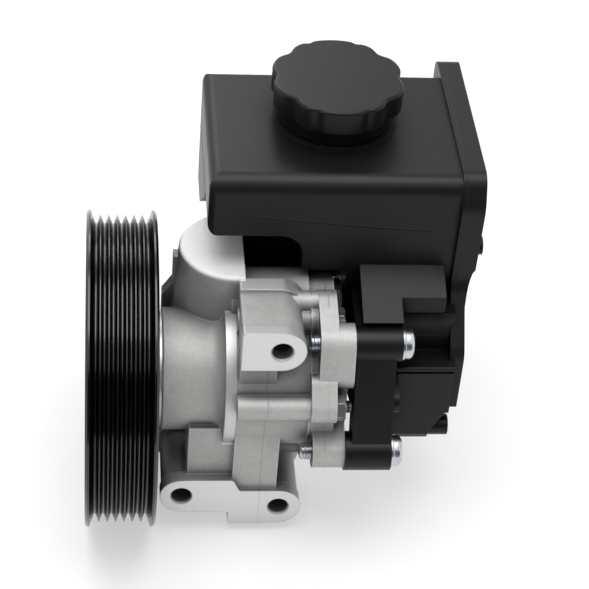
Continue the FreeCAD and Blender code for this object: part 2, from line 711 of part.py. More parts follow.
def housing_castings():
    barrel_r = BODY_R - BODY_SEAM_STEP
    body = turned_x([
        (NOSE_X - SPIGOT_LENGTH, 0), (NOSE_X - SPIGOT_LENGTH, SPIGOT_R), (NOSE_X, SPIGOT_R),
        (NOSE_X, NOSE_R, 0.6), (BODY_X, NOSE_R, FLARE_R), (BODY_X, BODY_R + 2 * FIT), (BODY_SEAM_X, BODY_R),
        (BODY_SEAM_X, barrel_r), (BODY_REAR_X, barrel_r), (BODY_REAR_X, 0)])
    pieces = [tower(), gusset(), mounting_ear(), lower_mounts()]
    pieces.append(rod_x(BODY_SEAM_X - 2, BODY_REAR_X, VALVE_HOUSING_R, VALVE_Y, VALVE_Z))
    pieces.append(rod_x(EAR_X, BODY_REAR_X, SMALL_BOSS_R, SMALL_BOSS_Y, SMALL_BOSS_Z))
    for angle in BOLT_ANGLES:
        y, z = polar(angle, BOLT_CIRCLE_R)
        pieces.append(rod_x(BODY_SEAM_X, BODY_REAR_X, BOLT_BOSS_R, y, z))
    return fused(body, *pieces)


def housing_bores():
    clip_x = BEARING_X - CIRCLIP_THICKNESS - 2 * FIT
    groove_r = BEARING_OUTER_R + CIRCLIP_DEPTH
    bores = [
        rod_x(0, BEARING_REAR_X, BEARING_OUTER_R + FIT),
        rod_x(clip_x, BEARING_X, groove_r),
        rod_x(BEARING_REAR_X - FIT, SEAL_REAR_X, SEAL_R + FIT),
        rod_x(SEAL_REAR_X - FIT, CHAMBER_X + FIT, SPLINE_R + RUNNING),
        rod_x(CHAMBER_X, BODY_REAR_X + PAST, CHAMBER_R),
        rod_x(VALVE_BORE_X, BODY_REAR_X + PAST, VALVE_BORE_R, VALVE_Y, VALVE_Z),
        rod_x(PORT_X, VALVE_BORE_X + PAST, VALVE_DRILL_R, VALVE_Y, VALVE_Z),
        rod_y(PORT_FACE_Y - PORT_DEPTH, PORT_FACE_Y + PAST, PORT_THREAD_R, PORT_X, PORT_Z),
        rod_y(VALVE_Y, PORT_FACE_Y - PORT_DEPTH + PAST, VALVE_DRILL_R, PORT_X, VALVE_Z),
        mount_bore(EAR_X, EAR_Z, EAR_BORE_END_Y)]
    for x, z in ((FRONT_LUG_X, FRONT_LUG_Z), (REAR_LUG_X, REAR_LUG_Z)):
        bores += [mount_bore(x, z, MOUNT_BACK_Y + PAST), back_chamfer(x, z)]
    gallery_r = math.hypot(VALVE_Y, VALVE_Z)
    bores.append(Part.makeCylinder(VALVE_DRILL_R / 2, gallery_r, vec(VALVE_BORE_X + 3, 0, 0),
                                   vec(0, VALVE_Y, VALVE_Z)))
    for angle in BOLT_ANGLES:
        y, z = polar(angle, BOLT_CIRCLE_R)
        bores.append(rod_x(BOLT_TIP_X - BOLT_HOLE_RUN_OUT, BODY_REAR_X + PAST, BOLT_R + FIT, y, z))
    return bores


def make_housing():
    housing = housing_castings()
    for bore in housing_bores():
        housing = housing.cut(bore)
    save("pump_housing", housing)


def kidney(x0, x1, angle):
    """Curved port through a plate, centred on the given angle."""
    inner, outer = KIDNEY_R - KIDNEY_HALF_WIDTH, KIDNEY_R + KIDNEY_HALF_WIDTH
    band = ring_x(x0, x1, outer, inner)
    half = math.radians(KIDNEY_SPAN / 2)
    reach = 2 * outer
    start = math.radians(angle)
    wedge = []
    for side in (-half, half):
        wedge.append((reach * math.cos(start + side), reach * math.sin(start + side)))
    return band.common(slab_x([(0, 0)] + wedge, x0, x1))


def port_plate(x0, bore_r):
    x1 = x0 + PLATE_THICKNESS
    plate = ring_x(x0, x1, CHAMBER_R - RUNNING, bore_r)
    for angle in KIDNEY_ANGLES:
        plate = plate.cut(kidney(x0 - PAST, x1 + PAST, angle))
    for angle in DOWEL_ANGLES:
        y, z = polar(angle, DOWEL_CIRCLE_R)
        plate = plate.cut(rod_x(x0 - PAST, x1 + PAST, DOWEL_R + FIT, y, z))
    return plate


def cam_r(angle):
    """Radius of the oval cam face: two high and two low stretches in a turn."""
    return CAM_MIDDLE_R + CAM_SWING_R * math.cos(2 * math.radians(angle))


def make_cam_ring():
    x0, x1 = ROTOR_X, REAR_PLATE_FACE_X
    points = []
    for index in range(CAM_POINTS):
        angle = 360 * index / CAM_POINTS
        y, z = polar(angle, cam_r(angle))
        points.append(vec(x0 - PAST, y, z))
    curve = Part.BSplineCurve()
    curve.interpolate(points, PeriodicFlag=True)
    oval = Part.Face(Part.Wire(curve.toShape())).extrude(vec(x1 - x0 + 2 * PAST, 0, 0))
    ring = rod_x(x0, x1, CHAMBER_R - RUNNING).cut(oval)
    for angle in DOWEL_ANGLES:
        y, z = polar(angle, DOWEL_CIRCLE_R)
        ring = ring.cut(rod_x(x0 - PAST, x1 + PAST, DOWEL_R + FIT, y, z))
    save("cam_ring", ring)


def vane_box(angle, x0, x1, r0, r1, thickness):
    """Flat plate standing out along the radius at the given angle."""
    plate = block(x0, x1, -thickness / 2, thickness / 2, r0, r1)
    plate.rotate(vec(0, 0, 0), vec(1, 0, 0), 90 - angle)
    return plate


def make_rotor_and_vanes():
    x0, x1 = ROTOR_X + ROTOR_SIDE_GAP, REAR_PLATE_FACE_X - ROTOR_SIDE_GAP
    rotor = ring_x(x0, x1, ROTOR_R, SPLINE_R + FIT)
    foot_r = VANE_REST_R - SLOT_FOOT_R
    slot = VANE_THICKNESS + 2 * SLOT_CLEARANCE
    for index in range(VANES):
        angle = FIRST_VANE_ANGLE + 360 * index / VANES
        rotor = rotor.cut(vane_box(angle, x0 - PAST, x1 + PAST, foot_r, ROTOR_R + PAST, slot))
        y, z = polar(angle, foot_r)
        rotor = rotor.cut(rod_x(x0 - PAST, x1 + PAST, SLOT_FOOT_R, y, z))
        vane = vane_box(angle, x0, x1, VANE_REST_R, VANE_REST_R + VANE_HEIGHT, VANE_THICKNESS)
        save("vane_%02d" % (index + 1), vane)
    save("rotor", rotor)


def make_pump_pack():
    """Plates, dowels, springs and clips around the rotor."""
    rear_bore_r = ROTOR_CLIP_R + 1.0
    save("front_port_plate", port_plate(FRONT_PLATE_X, SPLINE_R + 1.0))
    save("rear_port_plate", port_plate(REAR_PLATE_FACE_X, rear_bore_r))
    dowels = []
    for angle in DOWEL_ANGLES:
        y, z = polar(angle, DOWEL_CIRCLE_R)
        dowels.append(rod_x(FRONT_PLATE_X + 1, REAR_PLATE_END_X - 1, DOWEL_R, y, z))
    save("dowel_pins", Part.makeCompound(dowels))
    clip_x = REAR_PLATE_FACE_X + FIT
    clip_inner = SPLINE_R - ROTOR_CLIP_DEPTH + FIT
    clip = ring_x(clip_x, clip_x + ROTOR_CLIP_THICKNESS - 2 * FIT, ROTOR_CLIP_R, clip_inner)
    save("rotor_circlip", clip.cut(block(clip_x - PAST, clip_x + 3, -2.5, 2.5, 0, ROTOR_CLIP_R + PAST)))
    x0, x1 = REAR_PLATE_END_X, COVER_SPIGOT_X
    save("port_plate_spring", turned_x([
        (x0, DISC_SPRING_RIM_R), (x0 + DISC_SPRING_THICKNESS, DISC_SPRING_RIM_R),
        (x1, DISC_SPRING_HOLE_R), (x1 - DISC_SPRING_THICKNESS, DISC_SPRING_HOLE_R)]))


def cover_lugs():
    """Arms of the rear cover that carry the reservoir."""
    upper, lower = UPPER_BOLT + (UPPER_LUG_R,), LOWER_BOLT + (LOWER_LUG_R,)
    return [
        link_x(upper, (-4.0, 37.5, 8.0), UPPER_LUG_X, UPPER_LUG_REAR_X),
        link_x(upper, (-24.0, 21.0, 8.0), UPPER_LUG_X, UPPER_LUG_REAR_X),
        link_x(UPPER_BOLT + (8.0,), (-10.0, 14.0, 9.0), UPPER_LUG_X, COVER_REAR_X),
        link_x(upper, (-24.0, 21.0, 8.0), UPPER_LUG_REAR_X - FIT, PLASTIC_JOINT_X),
        link_x((-20.0, 18.0, 7.0), (-22.0, -4.0, 7.0), COVER_REAR_X - FIT, PLASTIC_JOINT_X - 1.7),
        link_x(lower, (-19.0, -9.0, 10.0), LOWER_LUG_X, PLASTIC_JOINT_X - LOWER_JOINT_SHIFT),
        rod_x(BODY_REAR_X, UPPER_LUG_X + FIT, SMALL_BOSS_R, SMALL_BOSS_Y, SMALL_BOSS_Z),
        rod_x(COVER_REAR_X, PLASTIC_JOINT_X + 0.8, 2.6, -26.5, 2.0)]


def make_rear_cover():
    pieces = [rod_x(COVER_SPIGOT_X, BODY_REAR_X + FIT, CHAMBER_R - RUNNING)]
    for angle in BOLT_ANGLES:
        y, z = polar(angle, BOLT_CIRCLE_R)
        inner_y, inner_z = polar(angle, BOLT_CIRCLE_R * 0.55)
        ear = link_x((y, z, COVER_EAR_R), (inner_y, inner_z, COVER_EAR_R + 5), BODY_REAR_X, COVER_REAR_X)
        pieces.append(ear)
    first_y, first_z = polar(BOLT_ANGLES[0], BOLT_CIRCLE_R)
    pieces.append(link_x((first_y, first_z, COVER_EAR_R), COVER_PAD, BODY_REAR_X, COVER_REAR_X))
    pieces.append(rod_x(BODY_REAR_X, VALVE_BARREL_END_X, VALVE_BARREL_R, VALVE_Y, VALVE_Z))
    pieces.append(rod_x(COVER_REAR_X - FIT, SUCTION_END_X, SUCTION_R, SPIGOT_Y, SPIGOT_Z))
    cover = fused(rod_x(BODY_REAR_X, COVER_REAR_X, COVER_R), *pieces, *cover_lugs())
    groove_r = CHAMBER_R - RUNNING - RING_GROOVE_DEPTH
    groove = ring_x(RING_GROOVE_X, RING_GROOVE_X + RING_GROOVE_WIDTH, CHAMBER_R + PAST, groove_r)
    suction_groove = ring_x(SUCTION_RING_X, SUCTION_RING_X + 2.4, SUCTION_R + PAST, SUCTION_R - 1.6,
                            SPIGOT_Y, SPIGOT_Z)
    cuts = [
        groove, suction_groove,
        rod_x(COVER_SPIGOT_X - PAST, BUSH_X + BUSH_LENGTH, BUSH_R + FIT),
        rod_x(SUCTION_BORE_X, SUCTION_END_X + PAST, SUCTION_BORE_R, SPIGOT_Y, SPIGOT_Z),
        rod_x(COVER_SPIGOT_X - PAST, SUCTION_BORE_X + 2, SUCTION_DRILL_R, SPIGOT_Y + 1, SPIGOT_Z + 7),
        rod_x(BODY_REAR_X - PAST, PLUG_THREAD_X + FIT, VALVE_BORE_R, VALVE_Y, VALVE_Z),
        rod_x(PLUG_THREAD_X, VALVE_BARREL_END_X + PAST, PLUG_THREAD_R + FIT, VALVE_Y, VALVE_Z)]
    for angle in BOLT_ANGLES:
        y, z = polar(angle, BOLT_CIRCLE_R)
        cuts.append(rod_x(BODY_REAR_X - PAST, COVER_REAR_X + PAST, BOLT_R + BOLT_CLEARANCE, y, z))
        cuts.append(rod_x(COVER_REAR_X, PLASTIC_JOINT_X + PAST, SPOT_FACE_R, y, z))
    for y, z in (UPPER_BOLT, LOWER_BOLT):
        cuts.append(rod_x(LOWER_LUG_X - PAST, PLASTIC_JOINT_X + PAST, RES_BOLT_R + FIT, y, z))
    for cut in cuts:
        cover = cover.cut(cut)
    save("rear_cover", cover)


def make_cover_trim():
    """O-rings, bush and bolts of the rear cover."""
    ring_r = CHAMBER_R - RUNNING - RING_WIRE_R
    save("cover_o_ring", o_ring_x(RING_GROOVE_X + RING_GROOVE_WIDTH / 2, ring_r, RING_WIRE_R))
    save("rear_bush", ring_x(BUSH_X, BUSH_X + BUSH_LENGTH, BUSH_R, JOURNAL_R + RUNNING))
    bolts = []
    for angle in BOLT_ANGLES:
        y, z = polar(angle, BOLT_CIRCLE_R)
        shank = rod_x(BOLT_TIP_X, COVER_REAR_X + FIT, BOLT_R, y, z)
        head = crowned_hexagon_x(COVER_REAR_X, COVER_REAR_X + BOLT_HEAD_HEIGHT, BOLT_HEAD_FLATS, y, z)
        bolts.append(fused(shank, head))
    save("cover_bolts", Part.makeCompound(bolts))
    ring = o_ring_x(SUCTION_RING_X + 1.2, SUCTION_R - 0.7, 0.85, SPIGOT_Y, SPIGOT_Z)
    save("suction_seal_ring", ring)


def make_valve():
    spool_end = SPOOL_X + SPOOL_LENGTH
    land_r = VALVE_BORE_R - RUNNING
    spool = turned_x([
        (SPOOL_X, 0), (SPOOL_X, land_r), (SPOOL_X + 3, land_r), (SPOOL_X + 3, SPOOL_GROOVE_R),
        (SPOOL_X + 5, SPOOL_GROOVE_R), (SPOOL_X + 5, land_r), (spool_end - 6, land_r),
        (spool_end - 6, SPOOL_GROOVE_R), (spool_end - 3, SPOOL_GROOVE_R), (spool_end - 3, land_r),
        (spool_end, land_r), (spool_end, 0)], VALVE_Y, VALVE_Z)
    save("valve_spool", spool)
    spring = coil_z(SPOOL_X - VALVE_BORE_X - 2 * FIT, VALVE_SPRING_R, VALVE_SPRING_WIRE_R, VALVE_SPRING_TURNS)
    spring.rotate(vec(0, 0, 0), vec(0, 1, 0), 90)
    spring.translate(vec(VALVE_BORE_X + FIT, VALVE_Y, VALVE_Z))
    save("valve_spring", spring)
    head_end = VALVE_BARREL_END_X + PLUG_HEAD_HEIGHT
    head = crowned_hexagon_x(VALVE_BARREL_END_X, head_end, PLUG_FLATS, VALVE_Y, VALVE_Z)
    thread = rod_x(PLUG_THREAD_X, VALVE_BARREL_END_X + FIT, PLUG_THREAD_R, VALVE_Y, VALVE_Z)
    groove = ring_x(PLUG_THREAD_X + 4, PLUG_THREAD_X + 6, PLUG_THREAD_R + PAST, PLUG_THREAD_R - 1.4,
                    VALVE_Y, VALVE_Z)
    nose = rod_x(spool_end + RUNNING, PLUG_THREAD_X + FIT, PLUG_NOSE_R, VALVE_Y, VALVE_Z)
    save("valve_plug", fused(head, thread.cut(groove), nose))
    save("valve_plug_seal", o_ring_x(PLUG_THREAD_X + 5, PLUG_THREAD_R - 0.7, 0.68, VALVE_Y, VALVE_Z))


def make_reservoir_bolts():
    """Two long bolts with low round heads, and the sleeves that the plastic clamps on."""
    bolts, sleeves = [], []
    for (y, z), shift in ((UPPER_BOLT, 0.0), (LOWER_BOLT, LOWER_JOINT_SHIFT)):
        tip_x = RES_BOLT_TIP_X - shift
        head_x = PLASTIC_BOSS_END_X - shift
        top = head_x + RES_BOLT_HEAD_HEIGHT
        shape = turned_x([
            (tip_x, 0), (tip_x, RES_BOLT_R - 0.8), (tip_x + 0.8, RES_BOLT_R),
            (head_x, RES_BOLT_R), (head_x, RES_BOLT_HEAD_R, 0.3), (head_x + 1.2, RES_BOLT_HEAD_R, 0.3),
            (head_x + 1.5, RES_BOLT_HEAD_R - 0.5), (top - 1.6, RES_BOLT_HEAD_R - 0.5, 1.0),
            (top, RES_BOLT_HEAD_R - 2.2, 0.6), (top, 0)], y, z)
        socket = hexagon_x(top - 3.4, top + PAST, 6.0, y, z)
        bolts.append(shape.cut(socket))
        inner = RES_BOLT_R + SLEEVE_CLEARANCE
        sleeves.append(ring_x(PLASTIC_JOINT_X - shift, head_x, inner + SLEEVE_WALL, inner, y, z))
    save("reservoir_bolts", Part.makeCompound(bolts))
    save("bolt_sleeves", Part.makeCompound(sleeves))


def tank_plan():
    """Upright block with the tank's outline seen from above."""
    plan = [(TANK_LEFT_X, TANK_FRONT_Y, TANK_EDGE_R), (TANK_REAR_X, TANK_FRONT_Y),
            (TANK_REAR_X, TANK_BACK_Y), (TANK_LEFT_X, TANK_BACK_Y, TANK_EDGE_R)]
    return slab_z(plan, HEEL_FOOT_Z - PAST, TANK_TOP_Z + PAST)


def tank_shell():
    """Upper tank: what its outlines from the side, from the front and from above have in common."""
    side = [(TANK_LEFT_X, TANK_TOP_Z, TANK_CORNER_R), (TANK_REAR_X, TANK_TOP_Z),
            (TANK_REAR_X, TANK_STEP_Z), (TANK_STEP_X, TANK_STEP_Z, TANK_LOW_CORNER_R),
            (TANK_STEP_X, TANK_BELLY_Z, TANK_STEP_R), (TANK_LEFT_X, TANK_BELLY_Z, TANK_CORNER_R)]
    across = [(TANK_FRONT_Y, TANK_TOP_Z, TANK_FRONT_EDGE_R), (TANK_BACK_Y, TANK_TOP_Z, TANK_EDGE_R),
              (TANK_BACK_Y, TANK_STEP_Z), (TANK_FRONT_Y, TANK_STEP_Z, TANK_LOW_CORNER_R / 2)]
    shell = slab_y(side, TANK_FRONT_Y, TANK_BACK_Y)
    return shell.common(slab_x(across, TANK_LEFT_X, TANK_REAR_X)).common(tank_plan())


def tank_heel(inset=0.0):
    """Deeper back part of the tank's left end, clear of the tower and of the pressure pipe."""
    top_z = TANK_BELLY_Z + WALL + inset
    lean = inset / 2
    corners = [(TANK_BACK_Y - inset, HEEL_FOOT_Z + inset), (HEEL_FOOT_Y + lean, HEEL_FOOT_Z + inset),
               (HEEL_TOP_Y + lean, TANK_BELLY_Z + inset), (HEEL_TOP_Y + lean, top_z),
               (TANK_BACK_Y - inset, top_z)]
    return slab_x(corners, TANK_LEFT_X + inset, SUMP_X + WALL + inset)


def bolt_side_body():
    """Closed lower body behind the bolts, with a bay around the upper bolt's head."""
    body = slab_x([
        (SKIRT_Y, SKIRT_TOP_Z), (SKIRT_Y, LEDGE_TOP_Z), (LEDGE_FRONT_Y, LEDGE_TOP_Z - 0.6, 0.8),
        (LEDGE_FRONT_Y, BLOCK_TOP_Z), (BLOCK_FRONT_Y, BLOCK_TOP_Z, 0.8), (BLOCK_FRONT_Y, BLOCK_FOOT_Z, 2.0),
        (BLOCK_BACK_Y, BLOCK_FOOT_Z, 4.0), (BLOCK_BACK_Y, SKIRT_TOP_Z)], BLOCK_X, TANK_REAR_X)
    bay_y, bay_z = UPPER_BOLT
    body = body.cut(rod_x(BLOCK_X - PAST, TANK_REAR_X + PAST, BOLT_BAY_R, bay_y, bay_z))
    corner = slab_y([(CHAMFER_X, BLOCK_FOOT_Z), (CHAMFER_X, BLOCK_FOOT_Z - PAST),
                     (TANK_REAR_X + PAST, BLOCK_FOOT_Z - PAST), (TANK_REAR_X + PAST, CHAMFER_Z),
                     (TANK_REAR_X - 1.5, CHAMFER_Z)], BLOCK_FRONT_Y - PAST, BLOCK_BACK_Y + PAST)
    groove = block(BLOCK_X - PAST, TANK_REAR_X + PAST, BLOCK_FRONT_Y - PAST, BLOCK_FRONT_Y + LIP_GROOVE_DEPTH,
                   LIP_GROOVE_TOP_Z - LIP_GROOVE_WIDTH, LIP_GROOVE_TOP_Z)
    return body.cut(corner).cut(groove)


def web_plane_z(y):
    """Height of the bracket's sloping top at a place across the shaft."""
    return WEB_PLANE_Z + WEB_PLANE_SLOPE * (y - WEB_PLANE_Y)


def sloping_web():
    """Roof over the upper bolt's tube, shorter beside the bay."""
    back_y = TANK_FRONT_Y + WALL
    foot_z = LEDGE_TOP_Z - WALL
    long_side = [(back_y, web_plane_z(back_y)), (WEB_PLANE_END_Y, web_plane_z(WEB_PLANE_END_Y)),
                 (WEB_PLANE_END_Y + 2 * WALL, foot_z), (back_y, foot_z)]
    groove_y = WEB_LEDGE_Y + WEB_GROOVE_DEPTH
    groove_z = LEDGE_TOP_Z + WEB_GROOVE_WIDTH
    short_side = [(back_y, web_plane_z(back_y)), (WEB_LEDGE_Y, web_plane_z(WEB_LEDGE_Y)),
                  (WEB_LEDGE_Y, groove_z), (groove_y, groove_z),
                  (groove_y, LEDGE_TOP_Z - PAST), (back_y, LEDGE_TOP_Z - PAST)]
    return [slab_x(long_side, WEB_LEFT_X, WEB_MIDDLE_X), slab_x(short_side, WEB_MIDDLE_X, WEB_RIGHT_X)]


def tank_arms():
    """Boss tubes for the two bolts and the straps that tie them to the tank."""
    upper, lower = UPPER_BOLT + (ARM_R,), LOWER_BOLT + (ARM_R,)
    arms = [link_x(upper, lower, ARM_X0, ARM_X1),
            link_x(upper, (12.0, 32.0, 7.0), ARM_X0, ARM_X1),
            link_x((-28.0, 7.0, 5.0), (SPIGOT_Y, SPIGOT_Z, SOCKET_R), ARM_X0, BLOCK_X + 1)]
    arms.append(rod_x(PLASTIC_JOINT_X, PLASTIC_BOSS_END_X, PLASTIC_BOSS_R, *UPPER_BOLT))
    arms.append(rod_x(PLASTIC_JOINT_X - LOWER_JOINT_SHIFT, PLASTIC_BOSS_END_X - LOWER_JOINT_SHIFT,
                      LOWER_PLASTIC_BOSS_R, *LOWER_BOLT))
    return arms


def tank_cavities():
    rear = TANK_REAR_X + PAST
    roof = TANK_TOP_Z - WALL
    back = TANK_BACK_Y - WALL
    front = TANK_FRONT_Y + WALL
    slope = 10.0
    return [
        block(TANK_LEFT_X + WALL, rear, front, back, TANK_BELLY_Z + WALL, roof),
        block(TANK_STEP_X + WALL, rear, front, back, TANK_STEP_Z + WALL, TANK_BELLY_Z + 2 * WALL),
        tank_heel(WALL),
        block(SUMP_X + WALL, rear, SUMP_Y + WALL, back, SUMP_Z + WALL, TANK_BELLY_Z + 2 * WALL),
        block(SKIRT_X + WALL, rear, SKIRT_Y + WALL, back, TANK_FLOOR_Z, SKIRT_TOP_Z - WALL),
        block(BLOCK_X + WALL, rear, BLOCK_FRONT_Y + WALL, BLOCK_BACK_Y - WALL,
              CHAMFER_Z + WALL, BLOCK_TOP_Z - WALL),
        block(BLOCK_X + WALL, CHAMFER_X - WALL, BLOCK_FRONT_Y + WALL, BLOCK_BACK_Y - WALL - slope / 2,
              BLOCK_FOOT_Z + WALL + slope / 2, 0)]


def upper_tank():
    """Tank, sump, skirt, joint rim and filler neck, all still solid."""
    sump = block(SUMP_X, TANK_REAR_X, SUMP_Y, TANK_BACK_Y, SUMP_Z, TANK_BELLY_Z + WALL)
    upright = [edge for edge in sump.Edges
               if edge.BoundBox.ZLength > WALL and edge.BoundBox.XMin < SUMP_X + FIT]
    sump = sump.makeFillet(TANK_EDGE_R, upright)
    skirt = block(SKIRT_X, TANK_REAR_X, SKIRT_Y, TANK_BACK_Y, SKIRT_Z, SKIRT_TOP_Z)
    rim = slab_x(rear_outline(), TANK_RIM_X, TANK_REAR_X)
    neck = rod_z(TANK_TOP_Z - WALL, NECK_TOP_Z_MM, NECK_R, NECK_X, NECK_Y)
    base = rod_z(TANK_TOP_Z - WALL, TANK_TOP_Z + NECK_BASE_HEIGHT, NECK_BASE_R, NECK_X, NECK_Y)
    heel = tank_heel().common(tank_plan())
    return fused(fused(tank_shell(), sump, heel, skirt, rim), neck, base)


def bracket():
    """Block under the tank with its arms, socket and return nipple, all still solid."""
    socket = rod_x(SOCKET_X, BLOCK_X + 1, SOCKET_R, SPIGOT_Y, SPIGOT_Z)
    nipple = rod_x(RETURN_X0, RETURN_X1, RETURN_R, RETURN_Y, RETURN_Z)
    collar = rod_x(RETURN_X0, RETURN_COLLAR_X, RETURN_COLLAR_R, RETURN_Y, RETURN_Z)
    return fused(bolt_side_body(), socket, nipple, collar, *tank_arms(), *sloping_web())


def oil_ways():
    """Filler bore, suction socket, oil passages and the holes for the sleeves."""
    sleeve_r = RES_BOLT_R + SLEEVE_CLEARANCE + SLEEVE_WALL + FIT
    ways = [
        rod_z(TANK_TOP_Z - WALL - PAST, NECK_TOP_Z_MM + PAST, NECK_BORE_R, NECK_X, NECK_Y),
        rod_x(SOCKET_X - PAST, SUCTION_END_X + SOCKET_DEPTH_GAP, SUCTION_R + SOCKET_CLEARANCE,
              SPIGOT_Y, SPIGOT_Z),
        rod_x(SUCTION_END_X, BLOCK_X + WALL + PAST, SUCTION_BORE_R - 2, SPIGOT_Y, SPIGOT_Z),
        rod_z(BLOCK_TOP_Z - WALL - PAST, TANK_FLOOR_Z + PAST, OIL_HOLE_R, OIL_HOLE_X, OIL_HOLE_Y),
        rod_x(RETURN_X0 + 4, RETURN_X1 + PAST, RETURN_BORE_R, RETURN_Y, RETURN_Z),
        rod_z(RETURN_Z, BLOCK_FOOT_Z + WALL + 8, RETURN_BORE_R - 0.6, RETURN_X0 + 6, RETURN_Y)]
    for y, z in (UPPER_BOLT, LOWER_BOLT):
        first_x = PLASTIC_JOINT_X - LOWER_JOINT_SHIFT - PAST
        ways.append(rod_x(first_x, PLASTIC_BOSS_END_X + PAST, sleeve_r, y, z))
    return ways


def make_reservoir():
    """Tank and bracket, welded where the bracket's faces meet the tank's skirt and rim."""
    tank = upper_tank()
    below = bracket().cut(tank)
    for cut in tank_cavities() + oil_ways():
        tank = tank.cut(cut)
        below = below.cut(cut)
    save("reservoir_tank", tank)
    save("reservoir_bracket", below)


def rear_outline(inset=0.0):
    """Outline of the welded joint between the tank and its rear cover, as (y, z) corners."""
    return [
        (REAR_BACK_Y - inset, REAR_TOP_Z - inset, 6.0), (REAR_FRONT_Y + 6 + inset, REAR_TOP_Z - inset, 8.0),
        (REAR_FRONT_Y - 0.4 + inset, 84.0, 14.0), (REAR_FRONT_Y + 1.2 + inset, 44.0, 12.0),
        (REAR_TOE_Y + inset, 20.0, 10.0), (REAR_TOE_Y + inset, REAR_FOOT_Z + inset, 2.0),
        (BLOCK_BACK_Y + 3 - inset, REAR_FOOT_Z + inset, 5.0),
        (BLOCK_BACK_Y + 6 - inset, REAR_BACK_FOOT_Z + inset, 4.0),
        (REAR_BACK_Y - inset, REAR_BACK_FOOT_Z + inset, 10.0)]


def make_reservoir_rear_cover():
    plate = slab_x(rear_outline(), TANK_REAR_X, REAR_PLATE_X)
    thin = slab_y([(REAR_THIN_X, REAR_FOOT_Z - PAST), (REAR_PLATE_X + PAST, REAR_FOOT_Z - PAST),
                   (REAR_PLATE_X + PAST, REAR_STEP_TOP_Z),
                   (REAR_PLATE_X - REAR_STEP_SHOULDER, REAR_STEP_TOP_Z, 4.0),
                   (REAR_THIN_X, REAR_THIN_Z, 6.0)], REAR_TOE_Y - PAST, REAR_BACK_Y + PAST)
    recess_end = TANK_REAR_X + REAR_RECESS_DEPTH
    upper = block(TANK_REAR_X - PAST, recess_end, TANK_FRONT_Y + WALL, TANK_BACK_Y - WALL,
                  REAR_STEP_TOP_Z, TANK_TOP_Z - WALL)
    lower = block(TANK_REAR_X - PAST, TANK_REAR_X + 1.5, REAR_TOE_Y + 2 * WALL, BLOCK_BACK_Y - WALL,
                  CHAMFER_Z + 2 * WALL, BLOCK_TOP_Z - WALL)
    stud = rod_x(REAR_PLATE_X - PAST, REAR_PLATE_X + STUD_LENGTH, STUD_R, STUD_Y, STUD_Z)
    save("reservoir_rear_cover", fused(plate.cut(thin), stud).cut(upper).cut(lower))


def cap_radius(angle):
    """Radius of the cap's grip: wide arcs with rounded scallops pressed into them."""
    radius = CAP_R
    for dips, depth, width in ((CAP_DEEP_DIPS, CAP_DEEP, CAP_DEEP_WIDTH),
                               (CAP_SMALL_DIPS, CAP_SMALL, CAP_SMALL_WIDTH)):
        for dip in dips:
            away = (angle - dip + 180) % 360 - 180
            radius -= depth * math.exp(-(away / width) ** 2)
    return radius


def make_cap():
    points = []
    for index in range(CAP_POINTS):
        angle = 360 * index / CAP_POINTS
        radius = cap_radius(angle)
        turn = math.radians(angle)
        points.append(vec(NECK_X + radius * math.cos(turn), NECK_Y + radius * math.sin(turn), CAP_BOTTOM_Z))
    curve = Part.BSplineCurve()
    curve.interpolate(points, PeriodicFlag=True)
    cap = Part.Face(Part.Wire(curve.toShape())).extrude(vec(0, 0, CAP_TOP_Z - CAP_BOTTOM_Z))
    top = [edge for edge in cap.Edges if edge.BoundBox.ZMin > CAP_TOP_Z - FIT]
    cap = cap.makeFillet(CAP_EDGE_R, top)
    ceiling_z = CAP_TOP_Z - CAP_CROWN
    cap = cap.cut(rod_z(CAP_BOTTOM_Z - PAST, ceiling_z, NECK_R + CAP_CLEARANCE, NECK_X, NECK_Y))
    save("filler_cap", cap)
    seal_top = NECK_TOP_Z_MM + CAP_SEAL_HEIGHT
    seal = turned_z([(NECK_BORE_R + 0.6, NECK_TOP_Z_MM), (NECK_R - 0.2, NECK_TOP_Z_MM),
                     (NECK_R - 0.2, seal_top), (NECK_BORE_R + 0.6, seal_top)], NECK_X, NECK_Y)
    save("cap_seal", seal)
    half_width, half_depth = DIPSTICK_WIDTH / 2, DIPSTICK_THICKNESS / 2
    blade = block(NECK_X - half_width, NECK_X + half_width, NECK_Y - half_depth, NECK_Y + half_depth,
                  DIPSTICK_FOOT_Z, ceiling_z - 1)
    disc = rod_z(ceiling_z - 2, ceiling_z, DIPSTICK_DISC_R, NECK_X, NECK_Y)
    save("dipstick", fused(blade, disc))


def make_filter():
    foot = TANK_FLOOR_Z
    top = foot + FILTER_HEIGHT
    star = []
    for index in range(2 * FILTER_PLEATS):
        radius = FILTER_R - 0.8 - FILTER_PLEAT_DEPTH * (index % 2)
        turn = math.pi * index / FILTER_PLEATS
        star.append((FILTER_X + radius * math.cos(turn), FILTER_Y + radius * math.sin(turn)))
    paper = slab_z(star, foot + FILTER_END_THICKNESS / 2, top - FILTER_END_THICKNESS / 2)
    ends = [rod_z(foot, foot + FILTER_END_THICKNESS, FILTER_R, FILTER_X, FILTER_Y),
            rod_z(top - FILTER_END_THICKNESS, top, FILTER_R, FILTER_X, FILTER_Y)]
    element = fused(paper, *ends).cut(rod_z(foot - PAST, top - FILTER_END_THICKNESS, FILTER_BORE_R,
                                            FILTER_X, FILTER_Y))
    save("filter_element", element)
    height = TANK_TOP_Z - WALL - top
    spring = coil_z(height, FILTER_SPRING_R, FILTER_SPRING_WIRE_R, FILTER_SPRING_TURNS)
    spring.translate(vec(FILTER_X, FILTER_Y, top))
    save("filter_spring", spring)


